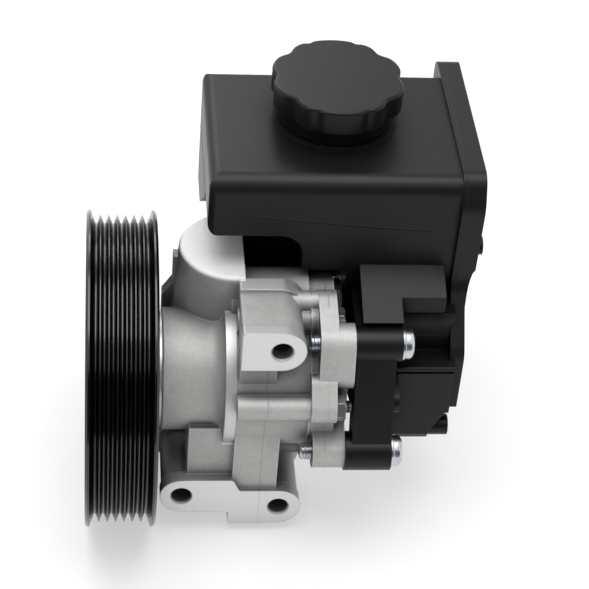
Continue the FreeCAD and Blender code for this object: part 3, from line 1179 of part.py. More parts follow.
def main():
    os.makedirs("parts", exist_ok=True)
    make_pulley()
    make_shaft()
    make_bearing()
    make_front_clip_and_seal()
    make_housing()
    make_cam_ring()
    make_rotor_and_vanes()
    make_pump_pack()
    make_rear_cover()
    make_cover_trim()
    make_valve()
    make_reservoir_bolts()
    make_reservoir()
    make_reservoir_rear_cover()
    make_cap()
    make_filter()


main()
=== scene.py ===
import json
import math

import bmesh
import bpy
import numpy as np
from mathutils import Matrix, Vector

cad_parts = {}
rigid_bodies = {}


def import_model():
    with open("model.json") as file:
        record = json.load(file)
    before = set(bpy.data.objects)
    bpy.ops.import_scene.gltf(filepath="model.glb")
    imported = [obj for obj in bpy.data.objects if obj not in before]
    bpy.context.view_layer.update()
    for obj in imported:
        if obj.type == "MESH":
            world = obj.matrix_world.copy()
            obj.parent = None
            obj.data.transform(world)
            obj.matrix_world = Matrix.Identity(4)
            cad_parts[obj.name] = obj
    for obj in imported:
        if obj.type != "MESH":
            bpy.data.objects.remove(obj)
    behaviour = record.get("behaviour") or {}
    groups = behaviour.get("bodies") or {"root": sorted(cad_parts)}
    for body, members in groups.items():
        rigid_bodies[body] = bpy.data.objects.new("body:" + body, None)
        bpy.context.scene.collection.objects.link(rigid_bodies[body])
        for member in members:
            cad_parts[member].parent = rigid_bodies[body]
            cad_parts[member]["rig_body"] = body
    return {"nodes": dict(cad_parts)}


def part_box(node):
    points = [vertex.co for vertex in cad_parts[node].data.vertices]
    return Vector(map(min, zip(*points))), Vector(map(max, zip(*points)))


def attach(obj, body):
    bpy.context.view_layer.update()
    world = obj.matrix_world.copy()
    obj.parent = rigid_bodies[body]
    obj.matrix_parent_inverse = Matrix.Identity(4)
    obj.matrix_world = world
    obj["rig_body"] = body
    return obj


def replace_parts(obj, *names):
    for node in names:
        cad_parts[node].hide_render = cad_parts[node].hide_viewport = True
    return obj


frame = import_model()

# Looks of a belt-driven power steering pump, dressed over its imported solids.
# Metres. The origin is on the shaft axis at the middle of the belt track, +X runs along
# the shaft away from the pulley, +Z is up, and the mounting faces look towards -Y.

bl_info = {
    "name": "Power steering pump",
    "version": (1, 0, 0),
    "blender": (4, 5, 0),
    "location": "3D View > Sidebar > Pump",
    "description": "Dresses the solids of a power steering pump with its finishes and fine detail",
    "category": "Object",
}

MM = 0.001

# Reservoir bolts, in millimetres as in the solids
BOLT_TIP_X = 77.8
BOLT_R = 3.98
BOLT_SHANK_R = 4.0
BOLT_SIDES = 48
TIP_CONE = 1.1
LEAD_IN = 1.2
LEAD_IN_DROP = 0.8
THREAD_START = 0.3
THREAD_PITCH = 1.25
THREAD_DEPTH = 0.75
THREAD_RUN_OUT = 1.5
THREAD_END_X = 96.0
STEPS_PER_TURN = 10
HEAD_X = 116.5
HEAD_PROFILE = (  # height over HEAD_X and radius: washer rim, then the domed head
    (0.0, 6.9), (0.2, 7.1), (1.0, 7.1), (1.25, 6.95), (1.4, 6.6), (3.4, 6.6),
    (4.1, 6.35), (4.7, 5.7), (5.1, 4.9), (5.2, 4.2))
SOCKET_R = 3.0
SOCKET_BEVEL = 0.2
SOCKET_TOP, SOCKET_RIM, SOCKET_FLOOR, SOCKET_POINT = 5.2, 5.0, 2.0, 1.6
UPPER_BOLT = (0.0, -20.4, 32.4)
LOWER_BOLT = (-2.0, -35.7, -15.0)
SHARP_ANGLE = math.radians(40)

# Places on the castings where a finish changes, in millimetres
PAD_FACE_Y = -31.9
PAD_GAP_Z = (-30.0, 26.0)
EAR_END_Y, EAR_FOOT_Z, EAR_SIDE_X = -26.5, (26.0, 26.6), (48.0, 48.6)
SPIGOT_X = 17.3
PIPE_FACE_X, PIPE_FACE_Y, PIPE_FACE_Z = (28.0, 52.0), (48.8, 49.2), (20.0, 44.0)
HOUSING_JOINT_X = 78.7
RING_X, RING_R = (43.4, 48.3), (31.0, 33.6)
COLLAR_X, COLLAR_Y, COLLAR_Z = (48.5, 49.0), (2.2, 2.6), (47.4, 47.8)
TOWER_TOP_Z = (48.2, 49.7)
COVER_JOINT_X = 79.1
LUG_FACE_X = (96.5, 96.65)
HOUSING_LINE_X, HOUSING_LINE_END_Z = (60.6, 60.9), (24.0, 26.0)
COVER_LINE_X = (85.9, 86.2)
ARM_Y, ARM_Z = (-12.0, -11.0), (18.0, 19.0)
LINE_SOFT = 0.12

# Stage, in metres, watts and degrees
SUBJECT = (0.07, 0.02, 0.02)
LAMPS = (  # name, place, width, height and power
    ("overhead_box", (0.02, -0.1, 1.3), 1.0, 1.0, 12),
    ("back_box", (-0.3, 1.1, 0.95), 1.0, 0.6, 5),
    ("front_box", (0.25, -1.3, 0.2), 1.2, 0.35, 2),
    ("left_box", (-1.1, -0.45, 0.55), 0.5, 1.0, 1.5),
)
CARD_PLACE, CARD_TARGET = (0.05, -0.45, 0.15), (0.05, 0.0, 0.15)
CARD_WIDTH, CARD_HEIGHT = 1.0, 0.45
FLOOR_HALF = 3.0
FLOOR_SHADE = 0.6
FLOOR_LIFT = 0.48
WORLD_SEEN, WORLD_LIGHT = 1.0, 0.42
CAMERA_PLACE = (-0.010386, -0.625269, 0.563080)
CAMERA_YAW, CAMERA_PITCH, CAMERA_ROLL = 7.5518, 39.5753, 5.1742


# Finishes: a material's nodes, written as Python expressions


class Number:
    """A value that changes over a surface: one node socket with arithmetic on it."""

    def __init__(self, finish, socket):
        self.finish = finish
        self.socket = socket

    def _math(self, operation, first, second=0.0, third=0.0):
        return self.finish.node("ShaderNodeMath", {"operation": operation}, {0: first, 1: second, 2: third})

    def __add__(self, other):
        return self._math("ADD", self, other)

    __radd__ = __add__

    def __sub__(self, other):
        return self._math("SUBTRACT", self, other)

    def __rsub__(self, other):
        return self._math("SUBTRACT", other, self)

    def __mul__(self, other):
        return self._math("MULTIPLY", self, other)

    __rmul__ = __mul__

    def __truediv__(self, other):
        return self._math("DIVIDE", self, other)

    def __pow__(self, other):
        return self._math("POWER", self, other)

    def __abs__(self):
        return self._math("ABSOLUTE", self)

    def larger(self, other):
        return self._math("MAXIMUM", self, other)

    def rise(self, low, high):
        """0 below low, 1 above high, and smooth between."""
        return self.finish.node("ShaderNodeMapRange", {"interpolation_type": "SMOOTHSTEP"},
                                {"Value": self, "From Min": low, "From Max": high})

    def between(self, low, high, soft):
        """1 from low to high, with soft edges."""
        return self.rise(low - soft, low + soft) * (1 - self.rise(high - soft, high + soft))


class Finish:
    """A material: its node tree, its main shader and short ways to add nodes."""

    def __init__(self, name):
        self.material = bpy.data.materials.new(name)
        self.material.use_nodes = True
        self.tree = self.material.node_tree
        self.shader = self.tree.nodes["Principled BSDF"]
        self._place = None

    def node(self, kind, settings, inputs, output=0):
        """Adds a node, sets its settings, then links or sets its sockets."""
        made = self.tree.nodes.new(kind)
        for name, value in settings.items():
            setattr(made, name, value)
        for key, value in inputs.items():
            self.feed(made.inputs[key], value)
        return Number(self, made.outputs[output])

    def feed(self, socket, value):
        if isinstance(value, Number):
            self.tree.links.new(value.socket, socket)
        else:
            socket.default_value = value

    def ends(self, **values):
        """Sets or links sockets of the main shader, named with spaces as underscores."""
        for name, value in values.items():
            self.feed(self.shader.inputs[name.replace("_", " ")], value)

    def place(self):
        """Object coordinates in metres, as one vector."""
        if self._place is None:
            self._place = self.node("ShaderNodeTexCoord", {}, {}, "Object")
        return self._place

    def axes(self):
        """Object coordinates as three numbers in millimetres."""
        places = self.vector("SCALE", self.place(), Scale=1000.0)
        split = self.tree.nodes.new("ShaderNodeSeparateXYZ")
        self.tree.links.new(places.socket, split.inputs[0])
        return [Number(self, split.outputs[index]) for index in range(3)]

    def vector(self, operation, first, second=(0.0, 0.0, 0.0), **extra):
        """Vector Math on vectors."""
        inputs = {0: first, 1: second, **extra}
        return self.node("ShaderNodeVectorMath", {"operation": operation}, inputs)

    def distance(self, first, second, centre):
        """Distance in the plane of two of the axes from a centre, all in millimetres."""
        a, b = first - centre[0], second - centre[1]
        return (a * a + b * b) ** 0.5

    def noise(self, cell, detail=3.0, rough=0.5, stretch=(1.0, 1.0, 1.0)):
        """Cloudy noise from 0 to 1 in patches about cell metres across, drawn out along an axis by stretch."""
        where = self.vector("DIVIDE", self.place(), stretch)
        inputs = {"Vector": where, "Scale": 1.0 / cell, "Detail": detail, "Roughness": rough}
        return self.node("ShaderNodeTexNoise", {}, inputs)

    def rings(self, along, pitch, detail=4.0):
        """Noise that changes along one number only, in bands about pitch apart: turned or ground lines."""
        return self.node("ShaderNodeTexNoise", {"noise_dimensions": "1D"},
                         {"W": along / pitch, "Scale": 1.0, "Detail": detail})

    def colour(self, first, second, share):
        """Mix of two colours."""
        made = self.tree.nodes.new("ShaderNodeMix")
        made.data_type = "RGBA"
        self.feed(made.inputs["Factor"], share)
        for socket, value in ((made.inputs[6], first), (made.inputs[7], second)):
            self.feed(socket, value if isinstance(value, Number) else (*value, 1.0))
        return Number(self, made.outputs[2])

    def edges(self, radius):
        """1 along edges and corners within radius metres and 0 on plain faces."""
        rounded = self.node("ShaderNodeBevel", {"samples": 2}, {"Radius": radius})
        flat = self.node("ShaderNodeNewGeometry", {}, {}, "True Normal")
        along = self.node("ShaderNodeVectorMath", {"operation": "DOT_PRODUCT"}, {0: rounded, 1: flat}, "Value")
        return (1 - along).rise(0.02, 0.22)

    def shade(self, unshaded):
        """Paints shade: lets the shader fade to dull black where the given share falls to 0."""
        tree = self.tree
        dull = tree.nodes.new("ShaderNodeBsdfDiffuse")
        dull.inputs["Color"].default_value = (0.002, 0.002, 0.002, 1.0)
        fade = tree.nodes.new("ShaderNodeMixShader")
        self.feed(fade.inputs[0], unshaded)
        tree.links.new(dull.outputs[0], fade.inputs[1])
        tree.links.new(self.shader.outputs[0], fade.inputs[2])
        tree.links.new(fade.outputs[0], tree.nodes["Material Output"].inputs[0])

    def shelter(self, reach):
        """0 deep in a corner and 1 in the open, judged over reach metres."""
        return self.node("ShaderNodeAmbientOcclusion", {"samples": 3}, {"Distance": reach}, "AO")

    def relief(self, height, edge=0.0):
        """Normal from a height in metres, over edges rounded by edge metres."""
        inputs = {"Height": height, "Strength": 1.0, "Distance": 1.0}
        if edge:
            inputs["Normal"] = self.node("ShaderNodeBevel", {"samples": 4}, {"Radius": edge})
        return self.node("ShaderNodeBump", {}, inputs)


def dress(finish, *names):
    """Gives a finish to CAD nodes by their material slots."""
    for name in names:
        piece = frame["nodes"][name]
        if not piece.material_slots:
            piece.data.materials.append(finish.material)
        for slot in piece.material_slots:
            slot.material = finish.material


# Sizes and colours that a user would change


class PumpCasting(bpy.types.PropertyGroup):
    """Cast aluminium of the housing and the rear cover."""

    cast_colour: bpy.props.FloatVectorProperty(
        name="Cast skin", description="Colour of the aluminium as cast", subtype="COLOR",
        default=(0.52, 0.516, 0.508), min=0.0, max=1.0)
    cut_colour: bpy.props.FloatVectorProperty(
        name="Machined face", description="Colour of the faces that are cut after casting", subtype="COLOR",
        default=(0.72, 0.72, 0.715), min=0.0, max=1.0)
    grain: bpy.props.FloatProperty(
        name="Grain", description="Size of the speckle left by the mould", unit="LENGTH",
        default=0.7 * MM, min=0.1 * MM, max=5 * MM)
    edge: bpy.props.FloatProperty(
        name="Edge round", description="Radius that the cast edges appear to have", unit="LENGTH",
        default=0.6 * MM, min=0.0, max=3 * MM)


class PumpPlastic(bpy.types.PropertyGroup):
    """Black plastic of the reservoir and its cap."""

    colour: bpy.props.FloatVectorProperty(
        name="Plastic", description="Colour of the reservoir's plastic", subtype="COLOR",
        default=(0.0040, 0.0040, 0.0044), min=0.0, max=1.0)
    roughness: bpy.props.FloatProperty(
        name="Roughness", description="How dull the moulded surface is", subtype="FACTOR",
        default=0.36, min=0.05, max=1.0)
    edge: bpy.props.FloatProperty(
        name="Edge round", description="Radius that the moulded edges appear to have", unit="LENGTH",
        default=0.5 * MM, min=0.0, max=3 * MM)


class PumpPaint(bpy.types.PropertyGroup):
    """Gloss paint of the pulley."""

    colour: bpy.props.FloatVectorProperty(
        name="Paint", description="Colour of the pulley's paint", subtype="COLOR",
        default=(0.0012, 0.0012, 0.0013), min=0.0, max=1.0)
    roughness: bpy.props.FloatProperty(
        name="Roughness", description="How dull the paint is", subtype="FACTOR",
        default=0.17, min=0.02, max=1.0)


class PumpStage(bpy.types.PropertyGroup):
    """Floor, lamps and camera."""

    floor_colour: bpy.props.FloatVectorProperty(
        name="Floor", description="Colour of the floor", subtype="COLOR",
        default=(0.93, 0.93, 0.93), min=0.0, max=1.0)
    lens: bpy.props.FloatProperty(
        name="Lens", description="Focal length of the camera in millimetres", default=118.78, min=10.0)
    lamp_level: bpy.props.FloatProperty(
        name="Lamp level", description="Strength of all lamps together", default=1.0, min=0.0)


# Finishes of this pump


def scaled(colour, share):
    """Darker or lighter colour of the same hue."""
    return tuple(share * part for part in colour)


def casting_finish(name, sizes, cut_mask, line_mask=None, top_light_mask=None):
    """Aluminium as cast, machined where cut_mask gives 1, with painted light where the light mask gives 1,
    painted shade in corners and recesses and a painted highlight along the edges.
    """
    finish = Finish(name)
    x, y, z = finish.axes()
    grain = finish.noise(sizes.grain, detail=4.0, rough=0.65)
    coarse = finish.noise(3.2 * MM, detail=3.0)
    cloud = finish.noise(24 * MM, detail=2.0)
    cut = cut_mask(finish, x, y, z)
    painted_top_light = top_light_mask(finish, x, y, z) if top_light_mask else 0.0 * x
    dark = scaled(sizes.cast_colour, 0.78)
    light = scaled(sizes.cast_colour, 1.14)
    # Painted shade: the share below falls in corners and recesses found by ambient occlusion, and the skin and
    # machined faces darken with it; it stays 1 on the painted light of the tower top.
    unshaded = finish.shelter(26 * MM).rise(0.3, 1.0).larger(painted_top_light)
    skin = finish.colour(dark, light, (grain * 0.55 + coarse * 0.25 + cloud * 0.35 - 0.1).rise(0.2, 0.8))
    skin = finish.colour(scaled(sizes.cast_colour, 0.16), skin, unshaded)
    # Painted highlight along the edges, partly also rubbed metal: the edges are painted lighter.
    edge_wear_and_highlight = tuple(min(1.0, c) for c in scaled(sizes.cast_colour, 1.5))
    skin = finish.colour(skin, edge_wear_and_highlight, finish.edges(1.2 * MM) * 0.6)
    # Painted light: the tower top is painted nearly white and made less metallic.
    skin = finish.colour(skin, (0.95, 0.95, 0.94), painted_top_light * (0.75 + grain * 0.25))
    lines = finish.rings(x + z * 0.35, 0.45)
    face = finish.colour(scaled(sizes.cut_colour, 0.9), tuple(sizes.cut_colour), lines)
    # Painted shade on the machined faces in corners and recesses.
    face = finish.colour(scaled(sizes.cut_colour, 0.5), face, unshaded.rise(0.0, 0.6))
    height = (grain * 0.055 + coarse * 0.09) * (1 - cut) * MM + lines * cut * (0.004 * MM)
    if line_mask is not None:
        height = height + line_mask(finish, x, y, z) * (0.25 * MM)
    finish.ends(
        Base_Color=finish.colour(skin, face, cut),
        Metallic=(0.5 + cut * 0.3) * (1 - painted_top_light * 0.9),
        Roughness=(0.52 + grain * 0.12) * (1 - cut) + (0.30 + lines * 0.08) * cut,
        Normal=finish.relief(height, sizes.edge))
    return finish


def housing_cuts(finish, x, y, z):
    """Machined: pads of the mounting bosses, spigot, pipe face and rear joint, and partly so the
    ear's end, the ring round the body and the collar beside the tower."""
    pads = (1 - y.rise(PAD_FACE_Y - 0.05, PAD_FACE_Y + 0.05)) * (1 - z.between(*PAD_GAP_Z, 0.5))
    ear_end = (1 - y.rise(EAR_END_Y - 0.1, EAR_END_Y + 0.1)) * z.rise(*EAR_FOOT_Z) * x.rise(*EAR_SIDE_X)
    spigot = 1 - x.rise(SPIGOT_X - 0.05, SPIGOT_X + 0.05)
    pipe_face = y.between(*PIPE_FACE_Y, 0.1) * x.between(*PIPE_FACE_X, 0.5) * z.between(*PIPE_FACE_Z, 0.5)
    joint = x.rise(HOUSING_JOINT_X - 0.1, HOUSING_JOINT_X + 0.1)
    ring = x.between(*RING_X, 0.2) * finish.distance(y, z, (0.0, 0.0)).between(*RING_R, 0.3)
    collar = z.rise(*COLLAR_Z) * x.rise(*COLLAR_X) * (1 - y.rise(*COLLAR_Y))
    whole = pads.larger(ear_end * 0.45).larger(spigot).larger(pipe_face).larger(joint)
    return whole.larger((ring + collar) * 0.7)


def housing_painted_top_light(finish, x, y, z):
    """Top of the tower, painted lighter than the sides as painted light from the lamps above."""
    return z.rise(*TOWER_TOP_Z)


def housing_lines(finish, x, y, z):
    """Parting line of the mould round the body, which stops below the ear."""
    return x.between(*HOUSING_LINE_X, LINE_SOFT) * (1 - z.rise(*HOUSING_LINE_END_Z)) * 0.6


def cover_cuts(finish, x, y, z):
    """Machined: the joint with the housing and the rear faces of the arms."""
    joint = 1 - x.rise(COVER_JOINT_X - 0.1, COVER_JOINT_X + 0.1)
    return joint.larger(x.rise(*LUG_FACE_X))


def cover_lines(finish, x, y, z):
    """Faint parting line of the cover's mould, half way along its flange and not on its arms."""
    arms = (1 - y.rise(*ARM_Y)) * z.rise(*ARM_Z)
    return x.between(*COVER_LINE_X, LINE_SOFT) * (1 - arms) * 0.5


def plastic_finish(name, sizes, gloss=0.0, lines=None):
    """Moulded black plastic: satin, with faint flow clouds and fine dimples, a painted highlight along the
    edges and painted shade, fading to dull black, in corners and recesses.
    """
    finish = Finish(name)
    x, y, z = finish.axes()
    dimples = finish.noise(0.9 * MM, detail=3.0)
    cloud = finish.noise(18 * MM, detail=3.0)
    # Painted highlight: the edges are painted lighter than the skin.
    edge = scaled(sizes.colour, 7.0)
    skin = finish.colour(tuple(sizes.colour), scaled(sizes.colour, 1.7), cloud)
    height = dimples * (0.006 * MM) + cloud * (0.05 * MM)
    if lines is not None:
        height = height + lines(finish, x, y, z) * (0.3 * MM)
    finish.ends(
        Base_Color=finish.colour(skin, edge, finish.edges(0.35 * MM)),
        Roughness=(sizes.roughness - gloss - 0.06) + cloud * 0.10 + dimples * 0.04,
        Specular_IOR_Level=0.24,
        Normal=finish.relief(height, sizes.edge))
    # Painted shade: the plastic fades to dull black in corners and recesses.
    finish.shade(finish.shelter(30 * MM).rise(0.05, 0.7))
    return finish


def tank_lines(finish, x, y, z):
    """Mould line that sinks gently along the tank's front wall."""
    along = x - 49.3
    away = abs(z - (77.9 - along * 0.13 + along * along * 0.00046))
    return (1 - away.rise(0.15, 0.45)) * x.between(47.0, 129.0, 1.0) * (1 - y.rise(8.0, 8.5))


def paint_finish(name, sizes):
    """Gloss paint with a little orange peel."""
    finish = Finish(name)
    peel = finish.noise(2.2 * MM, detail=2.0)
    cloud = finish.noise(12 * MM, detail=2.0)
    finish.ends(
        Base_Color=finish.colour(tuple(sizes.colour), scaled(sizes.colour, 1.8), cloud),
        Roughness=(sizes.roughness - 0.03) + cloud * 0.08,
        Specular_IOR_Level=0.6,
        Normal=finish.relief(peel * (0.012 * MM), 0.15 * MM))
    return finish


def metal_finish(name, colour, roughness, lines_along=None, pitch=0.25, grain=0.0, tint=None):
    """Bare or plated metal with turned or ground lines along one axis."""
    finish = Finish(name)
    axes = finish.axes()
    cloud = finish.noise(6 * MM, detail=3.0)
    fine = finish.noise(0.5 * MM, detail=3.0)
    base = finish.colour(scaled(colour, 0.78), colour, cloud.rise(0.3, 0.7))
    if tint is not None:
        base = finish.colour(base, tint, finish.noise(3 * MM, detail=2.0).rise(0.5, 0.75) * 0.35)
    height = fine * (grain * MM)
    rough = (roughness - 0.04) + cloud * 0.08
    if lines_along is not None:
        lines = finish.rings(axes[lines_along], pitch)
        height = height + lines * (0.006 * MM)
        rough = rough + lines * 0.05
    finish.ends(Base_Color=base, Metallic=1.0, Roughness=rough, Normal=finish.relief(height, 0.2 * MM))
    return finish


def rubber_finish(name):
    """Dull black rubber with a fine bloom."""
    finish = Finish(name)
    bloom = finish.noise(1.5 * MM, detail=4.0)
    finish.ends(
        Base_Color=finish.colour((0.012, 0.012, 0.012), (0.035, 0.035, 0.036), bloom),
        Roughness=0.62 + bloom * 0.2,
        Normal=finish.relief(bloom * (0.02 * MM)))
    return finish


def paper_finish(name):
    """Filter paper with fibres between its glued end caps."""
    finish = Finish(name)
    fibres = finish.noise(0.8 * MM, detail=5.0, stretch=(1.0, 1.0, 0.3))
    finish.ends(
        Base_Color=finish.colour((0.60, 0.50, 0.32), (0.80, 0.73, 0.55), fibres),
        Roughness=0.85 + fibres * 0.1,
        Normal=finish.relief(fibres * (0.08 * MM)))
    return finish


def pale_plastic_finish(name):
    """Natural moulded plastic of the dipstick."""
    finish = Finish(name)
    cloud = finish.noise(5 * MM, detail=3.0)
    finish.ends(
        Base_Color=finish.colour((0.52, 0.50, 0.42), (0.64, 0.62, 0.54), cloud),
        Roughness=0.42 + cloud * 0.1,
        Normal=finish.relief(cloud * (0.05 * MM), 0.2 * MM))
    return finish


# Surfaces


def surface(name, points, body, finish):
    """Mesh from a grid of points (rows, columns, 3): each cell becomes a quad whose outside is
    the cross product of the column step and the row step. The last column joins the first."""
    rows, columns = points.shape[:2]
    index = np.arange(rows * columns).reshape(rows, columns)
    index = np.concatenate([index, index[:, :1]], axis=1)
    corners = [index[:-1, :-1], index[:-1, 1:], index[1:, 1:], index[1:, :-1]]
    quads = np.stack(corners, axis=-1).reshape(-1, 4)
    mesh = bpy.data.meshes.new(name)
    mesh.from_pydata(points.reshape(-1, 3), [], quads.tolist())
    mesh.polygons.foreach_set("use_smooth", np.ones(len(quads), dtype=bool))
    mesh.materials.append(finish.material)
    mesh.update()
    piece = bpy.data.objects.new(name, mesh)
    bpy.context.scene.collection.objects.link(piece)
    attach(piece, body)
    return piece


def close_poles(mesh):
    """Merges the points that fall together at the ends of a turned surface."""
    work = bmesh.new()
    work.from_mesh(mesh)
    bmesh.ops.remove_doubles(work, verts=work.verts, dist=1e-7)
    work.to_mesh(mesh)
    work.free()


def turned_rows(x, r, angles):
    """Rows of a turned shape: x and r are in millimetres, one number or one for each angle."""
    count = len(angles)
    return np.broadcast_to(x, (count,)), np.broadcast_to(r, (count,))


def long_bolt(name, shift, y, z, finish):
    """Reservoir bolt about the line (y, z) along X, moved along it by shift. Its radius is carried
    round the axis from the tip: a cone, then a thread whose radius falls and rises as a saw of the
    place along X less the turned angle over a full turn, then the plain shank, the washer rim, the
    domed head and a socket whose rings follow a hexagon."""
    angles = np.linspace(0.0, 2 * np.pi, BOLT_SIDES, endpoint=False)
    rows = [turned_rows(BOLT_TIP_X, 0.0, angles), turned_rows(BOLT_TIP_X, BOLT_R - TIP_CONE, angles)]
    for x in np.arange(BOLT_TIP_X + THREAD_START, THREAD_END_X, THREAD_PITCH / STEPS_PER_TURN):
        phase = np.mod(x / THREAD_PITCH - angles / (2 * np.pi), 1.0)
        saw = np.abs(2 * phase - 1)
        lead = (x - BOLT_TIP_X) / LEAD_IN
        fade = min(1.0, lead, (THREAD_END_X - x) / THREAD_RUN_OUT)
        crest = BOLT_R - LEAD_IN_DROP * max(0.0, 1 - lead)
        rows.append(turned_rows(x, crest - THREAD_DEPTH * fade * saw, angles))
    rows += [turned_rows(x, BOLT_SHANK_R, angles) for x in (THREAD_END_X, HEAD_X)]
    rows += [turned_rows(HEAD_X + rise, r, angles) for rise, r in HEAD_PROFILE]
    hexagon = SOCKET_R / np.cos(np.mod(angles, np.pi / 3) - np.pi / 6)
    rows += [turned_rows(HEAD_X + SOCKET_TOP, hexagon + SOCKET_BEVEL, angles),
             turned_rows(HEAD_X + SOCKET_RIM, hexagon, angles),
             turned_rows(HEAD_X + SOCKET_FLOOR, hexagon, angles),
             turned_rows(HEAD_X + SOCKET_POINT, 0.0, angles)]
    x = np.array([row[0] for row in rows])
    r = np.array([row[1] for row in rows])
    points = np.stack([x + shift, y + r * np.cos(angles), z + r * np.sin(angles)], axis=-1) * MM
    piece = surface(name, points, "pump", finish)
    close_poles(piece.data)
    piece.data.set_sharp_from_angle(angle=SHARP_ANGLE)
    return piece


# Operators: one for each group of pieces


class PUMP_OT_castings(bpy.types.Operator):
    """Dress the pump housing and the rear cover as castings with machined faces"""

    bl_idname = "pump.castings"
    bl_label = "Castings"

    def execute(self, context):
        sizes = context.scene.pump_casting
        housing = casting_finish("cast_housing", sizes, housing_cuts, housing_lines, housing_painted_top_light)
        dress(housing, "pump_housing")
        dress(casting_finish("cast_cover", sizes, cover_cuts, cover_lines), "rear_cover")
        return {"FINISHED"}


class PUMP_OT_pulley(bpy.types.Operator):
    """Paint the belt pulley"""

    bl_idname = "pump.pulley"
    bl_label = "Pulley"

    def execute(self, context):
        dress(paint_finish("pulley_paint", context.scene.pump_paint), "pulley", "pulley_hub")
        return {"FINISHED"}


class PUMP_OT_reservoir(bpy.types.Operator):
    """Dress the reservoir, its rear cover and its cap as moulded plastic"""

    bl_idname = "pump.reservoir"
    bl_label = "Reservoir"

    def execute(self, context):
        sizes = context.scene.pump_plastic
        dress(plastic_finish("reservoir_plastic", sizes, lines=tank_lines),
              "reservoir_tank", "reservoir_bracket", "reservoir_rear_cover")
        dress(plastic_finish("cap_plastic_skin", sizes, gloss=0.05), "filler_cap")
        dress(pale_plastic_finish("dipstick_skin"), "dipstick")
        dress(paper_finish("filter_skin"), "filter_element")
        return {"FINISHED"}


class PUMP_OT_fasteners(bpy.types.Operator):
    """Dress the bolts, the pulley nut and washer, the sleeves and the valve plug"""

    bl_idname = "pump.fasteners"
    bl_label = "Fasteners"

    def execute(self, context):
        zinc = metal_finish("bright_zinc", (0.62, 0.64, 0.67), 0.26, tint=(0.52, 0.58, 0.68))
        dress(zinc, "cover_bolts", "bolt_sleeves", "pulley_nut", "pulley_washer")
        for name, place in (("upper_long_bolt", UPPER_BOLT), ("lower_long_bolt", LOWER_BOLT)):
            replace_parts(long_bolt(name, *place, zinc), "reservoir_bolts")
        dress(metal_finish("dark_phosphate", (0.09, 0.09, 0.092), 0.45, None, grain=0.03), "valve_plug")
        return {"FINISHED"}


class PUMP_OT_drive(bpy.types.Operator):
    """Dress the shaft, its key, the bearing and the clips"""

    bl_idname = "pump.drive"
    bl_label = "Shaft and bearing"

    def execute(self, context):
        dress(metal_finish("ground_shaft", (0.58, 0.58, 0.58), 0.24, 0, 0.15), "drive_shaft", "shaft_key")
        dress(metal_finish("polished_bearing", (0.68, 0.68, 0.69), 0.12, 0, 0.2),
              "bearing_outer_race", "bearing_inner_race", "bearing_balls", "ball_cage")
        dress(metal_finish("spring_steel_skin", (0.32, 0.32, 0.34), 0.32, None, grain=0.01),
              "bearing_circlip", "rotor_circlip", "port_plate_spring", "valve_spring", "filter_spring")
        dress(rubber_finish("seal_skin"), "shaft_seal", "cover_o_ring", "valve_plug_seal",
              "suction_seal_ring", "cap_seal")
        return {"FINISHED"}


class PUMP_OT_pumping_parts(bpy.types.Operator):
    """Dress the rotor, vanes, cam ring, port plates, dowels, bush and spool"""

    bl_idname = "pump.pumping_parts"
    bl_label = "Pumping parts"

    def execute(self, context):
        dress(metal_finish("sintered_skin", (0.30, 0.30, 0.305), 0.42, 0, 0.3, grain=0.03),
              "front_port_plate", "rear_port_plate", "cam_ring", "rotor")
        vanes = ["vane_%02d" % number for number in range(1, 11)]
        dress(metal_finish("ground_vanes", (0.60, 0.60, 0.61), 0.25, 0, 0.1), *vanes)
        dress(metal_finish("ground_pins", (0.60, 0.60, 0.60), 0.22, 0, 0.2), "dowel_pins", "valve_spool")
        dress(metal_finish("bronze_skin", (0.58, 0.40, 0.19), 0.34, 0, 0.2), "rear_bush")
        return {"FINISHED"}


def aim(thing, place, target):
    """Moves a lamp or a card to a place and turns it towards a target."""
    thing.location = place
    thing.rotation_euler = (Vector(target) - Vector(place)).to_track_quat("-Z", "Y").to_euler()


def plate(name, half_width, half_height, z, finish):
    """Flat level rectangle about the Z axis, at a height z."""
    corners = [(-half_width, -half_height, z), (half_width, -half_height, z),
               (half_width, half_height, z), (-half_width, half_height, z)]
    mesh = bpy.data.meshes.new(name)
    mesh.from_pydata(corners, [], [(0, 1, 2, 3)])
    mesh.materials.append(finish.material)
    made = bpy.data.objects.new(name, mesh)
    bpy.context.scene.collection.objects.link(made)
    return made


def soft_box(name, place, width, height, power):
    """Rectangular lamp at a place, turned towards the subject."""
    lamp = bpy.data.lights.new(name, "AREA")
    lamp.shape = "RECTANGLE"
    lamp.size, lamp.size_y, lamp.energy = width, height, power
    holder = bpy.data.objects.new(name, lamp)
    bpy.context.scene.collection.objects.link(holder)
    aim(holder, place, SUBJECT)


def dark_card(name):
    """Black card before the object that only gloss sees, so that faces turned to the camera stay dark."""
    finish = Finish(name)
    finish.ends(Base_Color=(0.001, 0.001, 0.001, 1.0), Roughness=1.0, Specular_IOR_Level=0.0)
    card = plate(name, CARD_WIDTH / 2, CARD_HEIGHT / 2, 0, finish)
    aim(card, CARD_PLACE, CARD_TARGET)
    card.visible_camera = card.visible_diffuse = card.visible_shadow = card.visible_transmission = False


